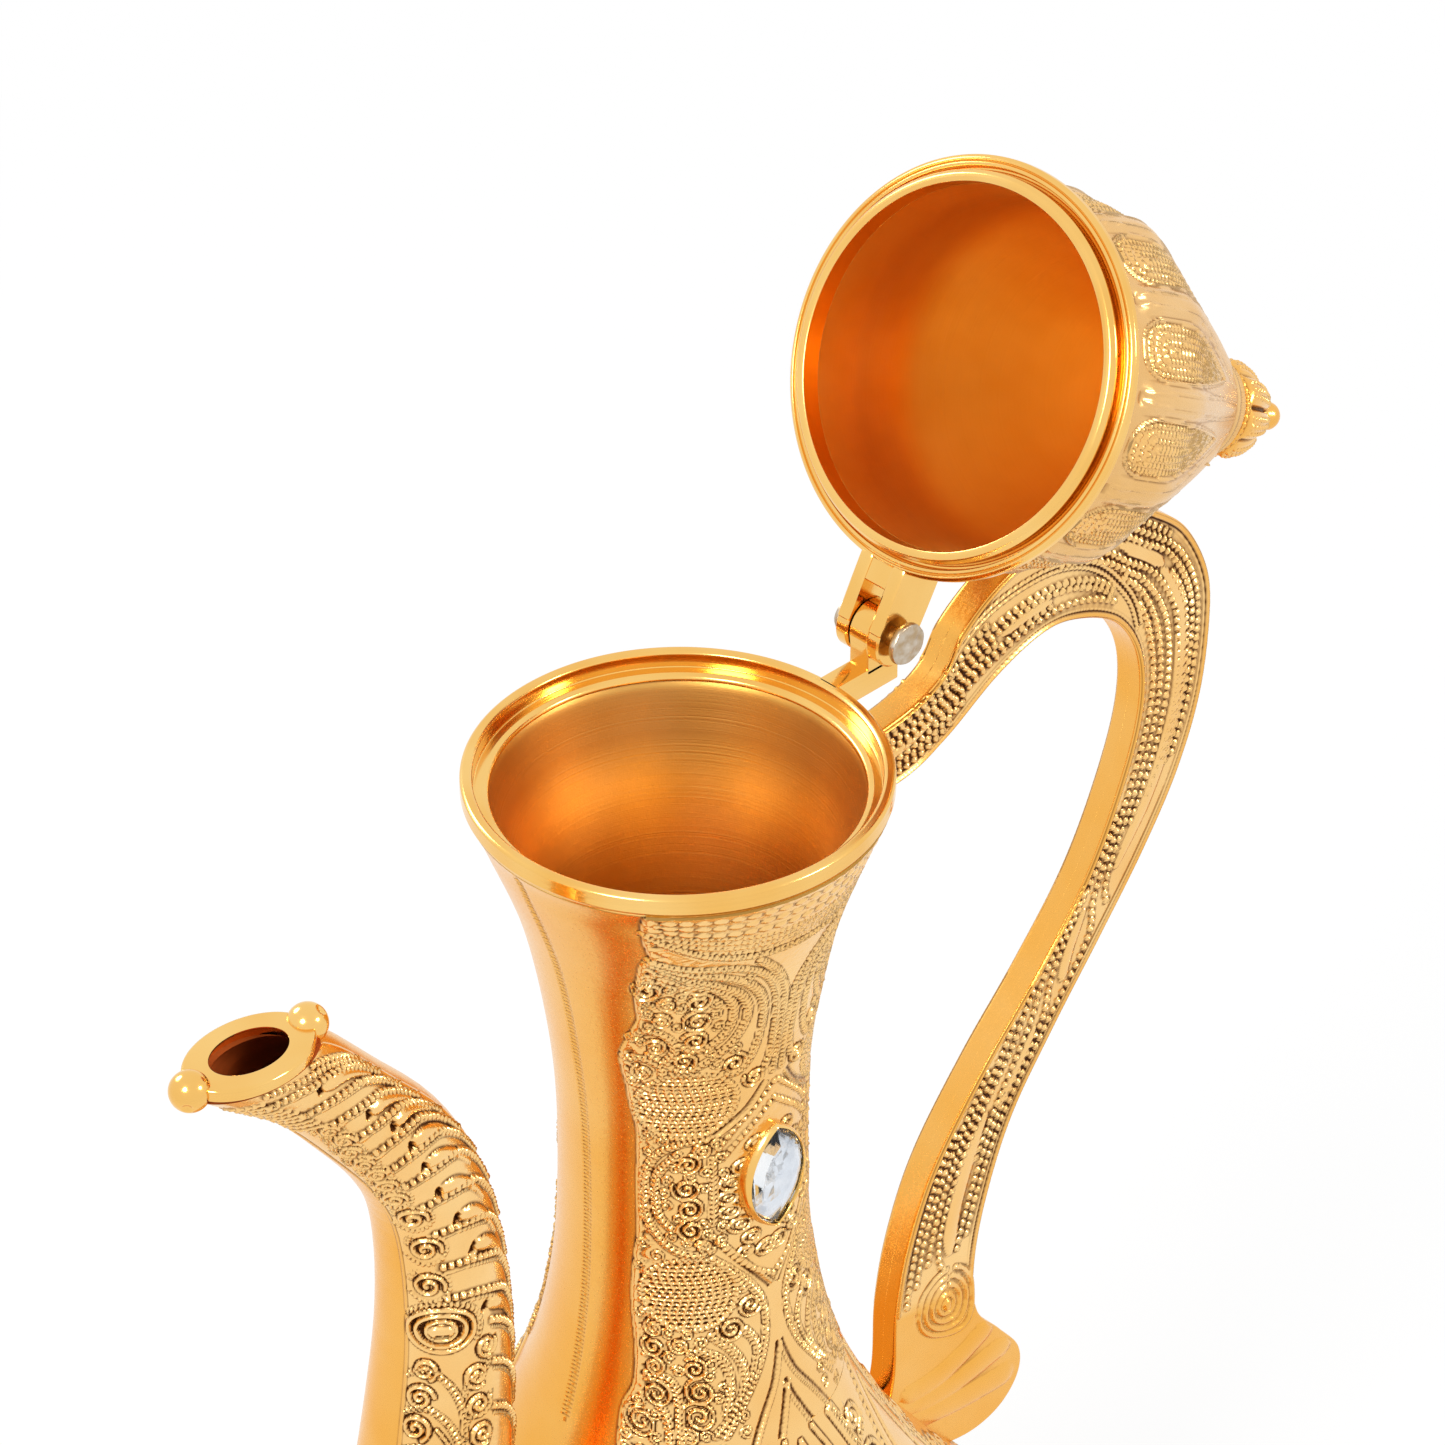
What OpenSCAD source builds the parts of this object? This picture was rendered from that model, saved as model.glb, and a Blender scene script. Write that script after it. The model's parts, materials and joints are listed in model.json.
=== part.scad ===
// Arabian coffee pot with a hinged dome lid, cast in halves and brazed together.
// Origin: centre of the foot's underside. +Z up, spout towards -X, handle towards +X.
// Heights written as "below the rim" are taken down from the pot's mouth.

/* [Pot] */
// Height of the mouth's rim above the table
rim_height = 232; // [226:1:240]
// Outer radius of the mouth's rim
rim_radius = 30; // [29.5:0.1:30.5]
// Radius of the neck at its narrowest
neck_radius = 17.7; // [17:0.1:18.4]
// Radius of the belly at its widest
belly_radius = 62; // [59:0.5:65]
// Thickness of the cast wall
wall = 2.4; // [2:0.1:2.6]

/* [Foot] */
// Radius of the foot where it stands
foot_radius = 39; // [36:0.5:42]
// Radius of the joint between belly and foot
waist_radius = 24; // [23:0.5:25]
// Height of the foot
foot_height = 18; // [16:0.5:20]

/* [Lid] */
// How far the lid swings back from closed to its stop on the handle
open_angle = 120; // [114:0.5:120]
// Outer radius of the lid's flange
flange_radius = 29.7; // [29.3:0.1:30]
// Height of the lid's dome above its flange face
dome_height = 61; // [59:0.5:62]
// Thickness of the dome's wall
dome_wall = 1.8; // [1.4:0.1:2.2]

/* [Hinge] */
// Distance of the hinge axis behind the pot's axis
hinge_out = 39; // [38.6:0.1:39.4]
// Height of the hinge axis above the rim
hinge_up = 4.7; // [4.6:0.1:4.9]
// Diameter of the hinge pin
pin_d = 3.2; // [2.8:0.1:3.4]
// Diameter of the pin's flat heads
head_d = 6.3; // [5.8:0.1:6.6]
// Width of the knuckle between the lid's two prongs
knuckle_w = 3.6; // [3.2:0.1:3.8]

/* [Handle] */
// Width of the handle across its flat sides
handle_w = 5; // [4.6:0.1:6]

/* [Stones] */
// Length of each side stone
stone_l = 15.5; // [14:0.5:16.5]
// Width of each side stone
stone_w = 8.4; // [7.6:0.2:9]

/* [Hidden] */
$fn = 96;
gold = "#E9A94A";
deep_gold = "#C9752A";
steel = "#A9A29A";
crystal = "#DDE6EA";
eps = 0.01;                        // overshoot of a cutting solid

// ---- curves -------------------------------------------------------------
function at(p, i) = p[max(0, min(len(p) - 1, i))];
function smooth_point(a, b, c, d, t) =
    0.5 * (2 * b + (c - a) * t + (2 * a - 5 * b + 4 * c - d) * t * t
           + (3 * b - a - 3 * c + d) * t * t * t);
// A smooth curve through the points p, with `steps` pieces between two of them
function curve(p, steps) = concat(
    [for (i = [0 : len(p) - 2], k = [0 : steps - 1])
        smooth_point(at(p, i - 1), at(p, i), at(p, i + 1), at(p, i + 2), k / steps)],
    [p[len(p) - 1]]);
function heading(p, i) = let (d = at(p, i + 1) - at(p, i - 1)) d / norm(d);
// The same line moved sideways by `off` to the right of its heading
function beside(p, off) = [for (i = [0 : len(p) - 1])
    let (h = heading(p, i)) p[i] + off * [h[1], -h[0]]];
function backwards(p) = [for (i = [len(p) - 1 : -1 : 0]) p[i]];
function up(p, z) = [for (q = p) [q[0], q[1] + z]];

// ---- neck and belly -----------------------------------------------------
belly_share = belly_radius - neck_radius;
shoulder = neck_radius - 17.7;     // a change of the neck moves what is next to it
seam_drop = 3.4;                   // rim ring's lower face, below the rim
waist_drop = rim_height - foot_height;
belly_drop = 172;                  // widest level, below the rim
low_belly = waist_drop - belly_drop;

// [radius, height above the rim], from the rim ring down to the foot
body_steps = 6;
body_curve = curve([
    [rim_radius - 0.5, -seam_drop], [rim_radius - 2.5, -8], [22 + shoulder, -24],
    [18.5 + shoulder, -45], [neck_radius, -64], [18.9 + shoulder, -86],
    [23.2 + shoulder, -105], [neck_radius + 0.34 * belly_share, -125],
    [neck_radius + 0.665 * belly_share, -145], [neck_radius + 0.905 * belly_share, -159],
    [belly_radius, -belly_drop],
    [neck_radius + 0.93 * belly_share, -belly_drop - 0.31 * low_belly],
    [neck_radius + 0.68 * belly_share, -belly_drop - 0.61 * low_belly],
    [neck_radius + 0.34 * belly_share, -belly_drop - 0.85 * low_belly],
    [waist_radius, -waist_drop]], body_steps);
body_outside = up(body_curve, rim_height);
body_inner = beside(body_curve, wall);
body_inside = up(concat(
    [for (i = [0 : len(body_curve) - 2]) [body_inner[i][0], min(body_inner[i][1], -seam_drop)]],
    [[waist_radius - wall, -waist_drop]]), rim_height);

spout_hole_r = 9;                  // way from the belly into the spout
spout_hole_x = -48;

neck_end = 6 * body_steps;         // where the neck is joined to the belly
body_end = len(body_curve) - 1;
function slice(p, first, last) = [for (i = [first : last]) p[i]];

// The half of the shell that lies on the -Y side, between two points of its curve
module shell_half(first, last) {
    rotate_extrude(angle = 180, start = 180)
        polygon(concat(slice(body_outside, first, last),
                       backwards(slice(body_inside, first, last))));
}

module belly_half() {
    difference() {
        shell_half(neck_end, body_end);
        translate([spout_hole_x, 0, rim_height - 170]) rotate([0, 0, 90])
            cylinder(r = spout_hole_r, h = 50);
    }
}

module neck_half_left() { color(gold) shell_half(0, neck_end); }
module neck_half_right() { color(gold) mirror([0, 1, 0]) shell_half(0, neck_end); }
module belly_half_left() { color(gold) belly_half(); }
module belly_half_right() { color(gold) mirror([0, 1, 0]) belly_half(); }

// What the spout and the handle are trimmed against
module body_envelope() {
    rotate_extrude()
        polygon(concat([[0, rim_height - seam_drop]], body_outside, [[0, foot_height]]));
}

// ---- mouth --------------------------------------------------------------
mouth_radius = rim_radius - 4;
lip_inner = rim_radius - 1.8;      // inside of the raised lip
seat_drop = 2.5;                   // seat of the lid, below the rim
edge = 0.4;                        // small broken edges

module rim_ring() {
    color(gold) translate([0, 0, rim_height]) rotate_extrude() polygon([
        [mouth_radius, -seam_drop], [rim_radius - 0.5, -seam_drop],
        [rim_radius - 0.4, -2.9], [rim_radius, -2.5], [rim_radius, -edge],
        [rim_radius - edge, 0], [lip_inner + edge, 0], [lip_inner, -edge],
        [lip_inner, -seat_drop], [mouth_radius + 0.8, -seat_drop],
        [mouth_radius, -seat_drop - 0.5]]);
}

// ---- foot ---------------------------------------------------------------
floor_t = 2;
ledge = 5;                         // width of the foot's top face

module foot() {
    out = curve([[waist_radius, foot_height], [waist_radius + 0.6, foot_height * 0.78],
        [waist_radius + 4, foot_height * 0.5], [foot_radius - 5, foot_height * 0.24],
        [foot_radius - 0.6, foot_height * 0.13]], 5);
    inn = curve([[foot_radius - 2.6, 0], [foot_radius - 4, foot_height * 0.07],
        [waist_radius + 4, foot_height * 0.28], [waist_radius - ledge + 2, foot_height * 0.56],
        [waist_radius - ledge, foot_height * 0.78]], 5);
    color(gold) rotate_extrude() polygon(concat(
        [[waist_radius - ledge, foot_height]], out,
        [[foot_radius, foot_height * 0.09], [foot_radius, edge], [foot_radius - edge, 0]], inn));
}

module floor_disc() {
    color(deep_gold) translate([0, 0, foot_height])
        cylinder(r = waist_radius - wall - 0.1, h = floor_t);
}

// ---- spout --------------------------------------------------------------
spout_wall = 2.4;
lip_drop = 5.5;                    // top of the spout's lip, below the rim
lip_t = 2;
lip_out = 78.7;                    // centre of the lip, in front of the pot's axis
spout_top = lip_drop + lip_t;

// [x, height above the rim, radius] down the middle of the spout
spout_line = curve([
    [-lip_out + 0.4, -spout_top, 6.5], [-70.4, -14, 6.9], [-61.9, -24, 7.3],
    [-54.2, -34, 7.9], [-49.4, -44, 8.2], [-47.2, -56, 8.7], [-46.8, -70, 9.4],
    [-48.1, -85, 10.3], [-49.8, -100, 11.4], [-50.8, -115, 12.8],
    [-50.4, -130, 14.2], [-48.5, -146, 15.2], [-44, -160, 15.6], [-37, -172, 15.6]], 4);
spout_sides = 14;                  // facets round one half

function spout_heading(i) =
    let (d = at(spout_line, i + 1) - at(spout_line, i - 1)) [d[0], d[1]] / norm([d[0], d[1]]);
// In-plane direction across the tube: level at the lip, square to the tube below it
function spout_across(i) =
    let (h = spout_heading(i), level = max(0, 1 - i / 9), s = [-h[1], h[0]],
         v = (1 - level) * s + level * [1, 0]) v / norm(v);
function spout_stretch(i) =
    let (h = spout_heading(i), a = spout_across(i)) 1 / max(0.5, abs(a[0] * -h[1] + a[1] * h[0]));
// Half a ring of points; `side` is -1 for the left half, 1 for the right
function spout_ring(i, inset, side) =
    let (c = spout_line[i], a = spout_across(i), r = c[2] - inset, w = r * spout_stretch(i))
    [for (k = [0 : spout_sides]) let (t = 180 * k / spout_sides)
        [c[0] + a[0] * w * cos(t), side * r * sin(t), rim_height + c[1] + a[1] * w * cos(t)]];

module spout_shell(side) {
    rings = len(spout_line);
    n = 2 * (spout_sides + 1);     // outer arc and inner arc of one ring
    points = [for (i = [0 : rings - 1])
        each concat(spout_ring(i, 0, side), backwards(spout_ring(i, spout_wall, side)))];
    walls = [for (i = [0 : rings - 2], k = [0 : n - 1]) let (a = i * n + k, b = i * n + (k + 1) % n)
        each [[a, b, b + n], [a, b + n, a + n]]];
    first = [for (k = [0 : spout_sides - 1]) each [[k, n - 1 - k, n - 2 - k], [k, n - 2 - k, k + 1]]];
    last = [for (f = first) [for (v = backwards(f)) v + (rings - 1) * n]];
    faces = concat(walls, first, last);
    polyhedron(points, side > 0 ? faces : [for (f = faces) backwards(f)]);
}

lip_knob_r = 2.6;
lip_half_l = 10.2;
lip_half_w = 6.9;

module lip_knobs() {
    for (end = [-1, 1])
        translate([end * (lip_half_l + 0.1) - lip_out, 0, rim_height - lip_drop - lip_t / 2])
            sphere(r = lip_knob_r, $fn = 48);
}

module spout_half(side) {
    difference() {
        spout_shell(side);
        body_envelope();
        lip_knobs();
    }
}

module spout_half_left() { color(gold) spout_half(-1); }
module spout_half_right() { color(gold) spout_half(1); }

function oval(a, b, n) = [for (k = [0 : n - 1]) [a * cos(360 * k / n), b * sin(360 * k / n)]];

module spout_lip() {
    color(gold) {
        translate([-lip_out, 0, rim_height - spout_top]) difference() {
            linear_extrude(lip_t) polygon(oval(lip_half_l, lip_half_w, 48));
            translate([0, 0, -1]) linear_extrude(lip_t + 2) polygon(oval(6.1, 4.1, 48));
        }
        lip_knobs();
    }
}

// ---- handle -------------------------------------------------------------
// [x, height above the rim]; back edge from the neck over the crown to the curl
handle_back = curve([
    [20, -11.5], [39, -11.2], [49.3, -8.3], [54, -2.4], [61, 2.2], [70, 4.8], [79, 5.4],
    [87, 4.2], [94, -0.4], [101, -6.6], [106, -16], [107, -25], [105.5, -38], [101, -50],
    [94, -61], [85, -72.4], [75.3, -84.2], [66.5, -96.4], [61, -110.5], [59, -122],
    [60, -131], [65, -137.5], [69.4, -143.6], [69.4, -149], [65.5, -153.2], [59, -154.6],
    [50, -153]], 4);
// front edge from the belly back up to the neck
handle_front = curve([
    [38, -146], [41.4, -134], [42, -121], [44.6, -109], [50, -97], [60, -84.4], [71, -73],
    [81, -61], [87.8, -48], [91.8, -35.5], [91.4, -25], [86.5, -16.6], [78, -11.8],
    [70.4, -10.7], [61, -13.5], [50.5, -19.2], [41, -22.1], [20, -22.5]], 4);

// One flat half; `side` is -1 for the left half, 1 for the right
module handle_half(side) {
    difference() {
        translate([0, side < 0 ? 0 : handle_w / 2, rim_height]) rotate([90, 0, 0])
            linear_extrude(handle_w / 2) polygon(concat(handle_back, handle_front));
        body_envelope();
    }
}

module handle_half_left() { color(gold) handle_half(-1); }
module handle_half_right() { color(gold) handle_half(1); }

// ---- hinge --------------------------------------------------------------
hinge_z = rim_height + hinge_up;
prong_t = 2.2;
side_gap = 0.15;                   // play between knuckle and prongs
prong_in = knuckle_w / 2 + side_gap;
fork_w = 2 * (prong_in + prong_t);
knuckle_r = 3.9;
prong_r = 4.3;
run_gap = 0.06;                    // play round the pin, on the radius
lug_top = 0.4;                     // upper face of the lug, from the rim
lug_low = -4.2;
post_x = 35.3;                     // front face of the lug's post

module across_y(r, w) {
    translate([0, w / 2, 0]) rotate([90, 0, 0]) cylinder(r = r, h = w);
}

module hinge_bracket() {
    color(gold) difference() {
        union() {
            translate([rim_radius - 3, -knuckle_w / 2, rim_height + lug_low])
                cube([hinge_out + 2.6 - rim_radius + 3, knuckle_w, lug_top - lug_low]);
            translate([post_x, -knuckle_w / 2, rim_height + lug_top - 1])
                cube([hinge_out + knuckle_r - post_x, knuckle_w, hinge_up - lug_top + 1]);
            translate([hinge_out, 0, hinge_z]) across_y(knuckle_r, knuckle_w);
        }
        translate([hinge_out, 0, hinge_z]) across_y(pin_d / 2, fork_w);
        translate([0, 0, rim_height - seam_drop]) cylinder(r = rim_radius, h = 10);
        body_envelope();
    }
}

head_t = 1.5;
head_far = fork_w / 2 + 0.3;       // inner face of the head on the right side
head_near = fork_w / 2 + 1;        // the rivet is longer on the left side

module hinge_pin() {
    color(steel) translate([hinge_out, 0, hinge_z]) {
        translate([0, (head_far - head_near) / 2, 0])
            across_y(pin_d / 2, head_near + head_far + 1);
        translate([0, head_far + head_t / 2, 0]) across_y(head_d / 2, head_t);
        translate([0, -head_near - head_t / 2, 0]) across_y(head_d / 2, head_t);
    }
}

// ---- side stones --------------------------------------------------------
stone_drop = 60.5;                 // centre of a stone, below the rim
setting_l = stone_l + 3;
setting_w = stone_w + 3.2;
setting_face = neck_radius + 2.2;  // front face of the setting, from the pot's axis

// Pointed oval: where two equal circles overlap
module leaf(l, w) {
    r = (l * l + w * w) / (4 * w);
    intersection() {
        translate([r - w / 2, 0]) circle(r = r);
        translate([w / 2 - r, 0]) circle(r = r);
    }
}

module leaf_block(l, w, from, to) {
    translate([0, 0, rim_height - stone_drop]) rotate([90, 0, 0])
        translate([0, 0, from]) linear_extrude(to - from) leaf(l, w);
}

module stone_setting() {
    difference() {
        leaf_block(setting_l, setting_w, neck_radius - 4, setting_face);
        leaf_block(stone_l, stone_w, setting_face - 1.8, setting_face + 1);
        body_envelope();
    }
}

module stone() {
    leaf_block(stone_l - 0.1, stone_w - 0.1, setting_face - 1.8, setting_face);
    leaf_block(stone_l - 2.4, stone_w - 2, setting_face - eps, setting_face + 1);
}

module stone_setting_left() { color(gold) stone_setting(); }
module stone_setting_right() { color(gold) rotate([0, 0, 180]) stone_setting(); }
module stone_left() { color(crystal) stone(); }
module stone_right() { color(crystal) rotate([0, 0, 180]) stone(); }

// ---- lid, drawn closed and then swung open about the hinge ----------------
closed_gap = 0.15;                 // between the flange and the rim when closed
flange_t = 1.6;
spigot_r = rim_radius - 2.5;
spigot_inner = rim_radius - 4.3;
spigot_l = 1.7;

module swung() {
    translate([hinge_out, 0, hinge_z]) rotate([0, open_angle, 0])
        translate([-hinge_out, 0, -hinge_up + closed_gap]) children();
}

module lid_rim() {
    color(gold) swung() difference() {
        union() {
            rotate_extrude() polygon([
                [spigot_inner, flange_t], [spigot_inner, -spigot_l + edge],
                [spigot_inner + edge, -spigot_l], [spigot_r - edge, -spigot_l],
                [spigot_r, -spigot_l + edge], [spigot_r, 0.5], [spigot_r + 0.5, 0.5],
                [spigot_r + 0.5, 0], [flange_radius - edge, 0], [flange_radius, edge],
                [flange_radius, flange_t - edge], [flange_radius - edge, flange_t]]);
            for (side = [-1, 1])
                translate([0, side * (prong_in + prong_t / 2), 0]) prong();
        }
        translate([hinge_out, 0, hinge_up - closed_gap]) across_y(pin_d / 2 + run_gap, fork_w + 1);
    }
}

prong_top = hinge_up + 3.7;

module prong() {
    translate([flange_radius - 2.6, -prong_t / 2, 0])
        cube([hinge_out - flange_radius + 2.6, prong_t, prong_top]);
    translate([hinge_out, 0, hinge_up - closed_gap]) intersection() {
        across_y(prong_r, prong_t);
        translate([-prong_r, -prong_t, closed_gap - hinge_up])
            cube([2 * prong_r, 2 * prong_t, prong_top]);
    }
}

// [radius, height] of the dome's outside above the flange's face
dome_curve = curve([
    [flange_radius - 3.5, flange_t], [flange_radius - 3.4, 8], [flange_radius - 3, 14],
    [flange_radius - 3.4, 20], [23.9, 26], [17.9, 38], [11.5, 50], [8.5, 56],
    [6.7, dome_height]], 5);
dome_last = len(dome_curve) - 1;
crown_t = 3;

module lid_dome() {
    inside = [for (i = [0 : dome_last]) if (dome_curve[i][1] < dome_height - crown_t)
        [dome_curve[i][0] - dome_wall, dome_curve[i][1]]];
    color(gold) swung() difference() {
        rotate_extrude() polygon(concat([for (p = dome_curve) p], [[0, dome_height]],
            [[0, dome_height - crown_t]], [[inside[len(inside) - 1][0], dome_height - crown_t]],
            backwards(inside)));
        translate([0, 0, dome_height - crown_t - 1]) cylinder(r = stud_r, h = crown_t + 2);
    }
}

stud_r = 2;
finial_h = 12.6;
ball_r = 2.1;

module finial() {
    z = dome_height;
    bulb = curve([[6, z], [7, z + 1.6], [6.9, z + 4], [5.6, z + 7.4], [3.4, z + 10.4],
        [1.8, z + 11.8], [1.4, z + finial_h]], 4);
    color(gold) swung() difference() {
        union() {
            rotate_extrude() polygon(concat([[0, z]], bulb, [[1.4, z + finial_h + 1], [0, z + finial_h + 1]]));
            translate([0, 0, z + finial_h + 2.4]) sphere(r = ball_r, $fn = 48);
        }
        translate([0, 0, z - 1]) cylinder(r = stud_r, h = 9);
    }
}

module finial_stud() {
    color(steel) swung() translate([0, 0, dome_height - crown_t - 4.5])
        cylinder(r = stud_r, h = crown_t + 4.5 + 7.8);
}

nut_w = 7;                         // across flats
nut_t = 3.2;

module finial_nut() {
    color(steel) swung() translate([0, 0, dome_height - crown_t - nut_t]) difference() {
        cylinder(d = nut_w / cos(30), h = nut_t, $fn = 6);
        translate([0, 0, -1]) cylinder(r = stud_r, h = nut_t + 2);
    }
}

neck_half_left();
neck_half_right();
belly_half_left();
belly_half_right();
rim_ring();
foot();
floor_disc();
spout_half_left();
spout_half_right();
spout_lip();
handle_half_left();
handle_half_right();
hinge_bracket();
hinge_pin();
stone_setting_left();
stone_setting_right();
stone_left();
stone_right();
lid_rim();
lid_dome();
finial();
finial_stud();
finial_nut();
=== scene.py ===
import json
import math
import bmesh
import bpy
import numpy as np
from mathutils import Matrix, Vector


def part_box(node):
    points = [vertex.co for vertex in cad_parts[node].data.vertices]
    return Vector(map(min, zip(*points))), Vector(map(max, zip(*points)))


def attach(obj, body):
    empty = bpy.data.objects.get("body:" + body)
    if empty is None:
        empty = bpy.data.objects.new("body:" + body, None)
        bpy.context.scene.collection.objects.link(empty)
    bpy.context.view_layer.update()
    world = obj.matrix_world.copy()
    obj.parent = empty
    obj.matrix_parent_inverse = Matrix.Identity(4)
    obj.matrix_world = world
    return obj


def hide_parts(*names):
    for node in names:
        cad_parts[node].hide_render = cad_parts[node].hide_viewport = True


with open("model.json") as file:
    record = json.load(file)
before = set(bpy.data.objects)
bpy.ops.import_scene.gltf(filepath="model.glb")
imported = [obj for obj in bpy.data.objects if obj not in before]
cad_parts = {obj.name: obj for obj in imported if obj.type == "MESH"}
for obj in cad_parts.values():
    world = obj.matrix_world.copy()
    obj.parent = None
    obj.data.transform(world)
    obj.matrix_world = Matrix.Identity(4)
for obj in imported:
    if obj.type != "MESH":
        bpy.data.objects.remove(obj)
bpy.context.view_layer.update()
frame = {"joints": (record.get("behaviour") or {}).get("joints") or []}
mm = 0.001                      # everything below is drawn in millimetres

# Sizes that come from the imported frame
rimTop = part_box("rim_ring")[1].z / mm
handleWide = -2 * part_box("handle_half_left")[0].y / mm
hingeX, hingeZ = [v / mm for v in frame["joints"][0]["pos_m"][::2]]
openAngle = -math.radians(frame["joints"][0]["range_deg"][0])


def bend(points, steps=8):
    # a soft line through all the points
    p = np.array(points, float)
    p = np.vstack([p[:1], p, p[-1:]])
    out = []
    for a, b, c, d in zip(p[:-3], p[1:-2], p[2:-1], p[3:]):
        for t in np.arange(steps) / steps:
            out.append(0.5 * (2 * b + (c - a) * t + (2 * a - 5 * b + 4 * c - d) * t**2
                              + (3 * b - a - 3 * c + d) * t**3))
    return np.array(out + [p[-1]])


def alongCurve(p):
    return np.concatenate([[0], np.cumsum(np.linalg.norm(np.diff(p, axis=0), axis=1))])


def pick(p, far, want):
    # the points of a line at the wanted distances along it
    return np.stack([np.interp(want, far, column) for column in p.T], 1)


def evenly(p, step):
    far = alongCurve(p)
    return pick(p, far, np.linspace(0, far[-1], max(2, int(round(far[-1] / step)) + 1)))


def unit(v):
    return v / np.maximum(np.linalg.norm(v, axis=-1, keepdims=True), 1e-9)


def ease(v, wide=1.0):
    # from 0 to 1 while v goes from 0 to wide
    return np.clip(v / wide, 0, 1)


def lathe(line, angles):
    # radius and height, turned through the angles
    a = np.radians(angles)
    r, z = line[:, :1], line[:, 1:]
    return np.stack([r * np.cos(a), r * np.sin(a), np.repeat(z, len(a), 1)], -1)


def upright(xz, y):
    # a flat outline in x and height, set up at one or more values of y
    xz = np.asarray(xz, float)
    return np.stack([xz[:, 0], y + 0 * xz[:, 0], xz[:, 1]], 1)


def circle(count, start=0, end=360, closed=False):
    a = np.radians(np.linspace(start, end, count, endpoint=closed))
    return np.stack([np.cos(a), np.sin(a)], 1)


def gridNormals(p, wrap):
    across = np.roll(p, -1, 1) - np.roll(p, 1, 1) if wrap else np.gradient(p, axis=1)
    return unit(np.cross(across, np.gradient(p, axis=0)))


def makeSheet(rows, cols, points, wrap=False):
    # a grid of points that ornament is pressed into, with its normals facing outwards
    normal = gridNormals(points, wrap)
    normal *= np.sign((normal[:, :, 1] * points[:, :, 1]).sum())
    return {"rows": rows, "cols": cols, "p": points, "n": normal, "wrap": wrap, "stamps": [], "dents": []}


def onSheet(sheet, col, row):
    # the grid position and the point of a place on the sheet
    j = np.interp(col, sheet["cols"], np.arange(len(sheet["cols"])))
    i = np.interp(row, sheet["rows"], np.arange(len(sheet["rows"])))
    i0 = np.minimum(i.astype(int), len(sheet["rows"]) - 2)
    j0 = np.minimum(j.astype(int), len(sheet["cols"]) - 2)
    fi, fj = (i - i0)[:, None], (j - j0)[:, None]
    p = sheet["p"]
    q = (p[i0, j0] * (1 - fi) * (1 - fj) + p[i0 + 1, j0] * fi * (1 - fj)
         + p[i0, j0 + 1] * (1 - fi) * fj + p[i0 + 1, j0 + 1] * fi * fj)
    return i, j, q


def press(sheet, col, row, size, lean, dent):
    # a small mound or dent at each point; its length lies along the row of points, turned by lean degrees
    i, j, q = onSheet(sheet, col, row)
    way = unit(np.gradient(q, axis=0))
    up = sheet["n"][np.rint(i).astype(int), np.rint(j).astype(int)]
    turn = np.radians(np.full((len(q), 1), lean))
    way = way * np.cos(turn) + np.cross(up, way) * np.sin(turn)
    sheet["dents" if dent else "stamps"].append(np.column_stack([i, j, q, way, np.tile(size, (len(q), 1))]))


def pressed(sheet, stamps):
    # the height that all stamps together give at every point of the sheet
    height = np.zeros(sheet["p"].shape[:2])
    if not stamps:
        return height
    s = np.vstack(stamps)
    tall, broad = height.shape
    p = sheet["p"]
    rowGap = np.linalg.norm(np.diff(p, axis=0), axis=2)
    colGap = np.linalg.norm(np.diff(p, axis=1), axis=2)
    i0, j0 = np.rint(s[:, 0]).astype(int), np.rint(s[:, 1]).astype(int)
    reach = np.maximum(s[:, 8], s[:, 9])
    leastGap, mostSteps = 0.03, 40
    needI, needJ = [np.minimum(np.ceil(reach / np.maximum(gap, leastGap)).astype(int), mostSteps)
                    for gap in (rowGap[np.minimum(i0, tall - 2), j0], colGap[i0, np.minimum(j0, broad - 2)])]
    for di in range(-needI.max(), needI.max() + 1):
        for dj in range(-needJ.max(), needJ.max() + 1):
            use = (needI >= abs(di)) & (needJ >= abs(dj))
            ii, jj = i0[use] + di, j0[use] + dj
            if sheet["wrap"]:
                jj = jj % broad
            inside = (ii >= 0) & (ii < tall) & (jj >= 0) & (jj < broad)
            ii, jj, t = ii[inside], jj[inside], s[use][inside]
            gap = p[ii, jj] - t[:, 2:5]
            run = (gap * t[:, 5:8]).sum(1)
            side = (gap**2).sum(1) - run**2
            q = (run / t[:, 8])**2 + side / t[:, 9]**2
            np.maximum.at(height, (ii, jj), t[:, 10] * np.sqrt(np.maximum(0, 1 - q)))
    return height


def carve(sheet, ground):
    sheet["h"] = ground + pressed(sheet, sheet["stamps"]) - pressed(sheet, sheet["dents"])
    sheet["stamps"], sheet["dents"] = [], []


def blurred(a, times):
    for _ in range(times):
        b = np.pad(a, 1, mode="edge")
        a = (b[:-2, 1:-1] + b[2:, 1:-1] + b[1:-1, :-2] + b[1:-1, 2:] + 4 * b[1:-1, 1:-1]) / 8
    return a


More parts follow.
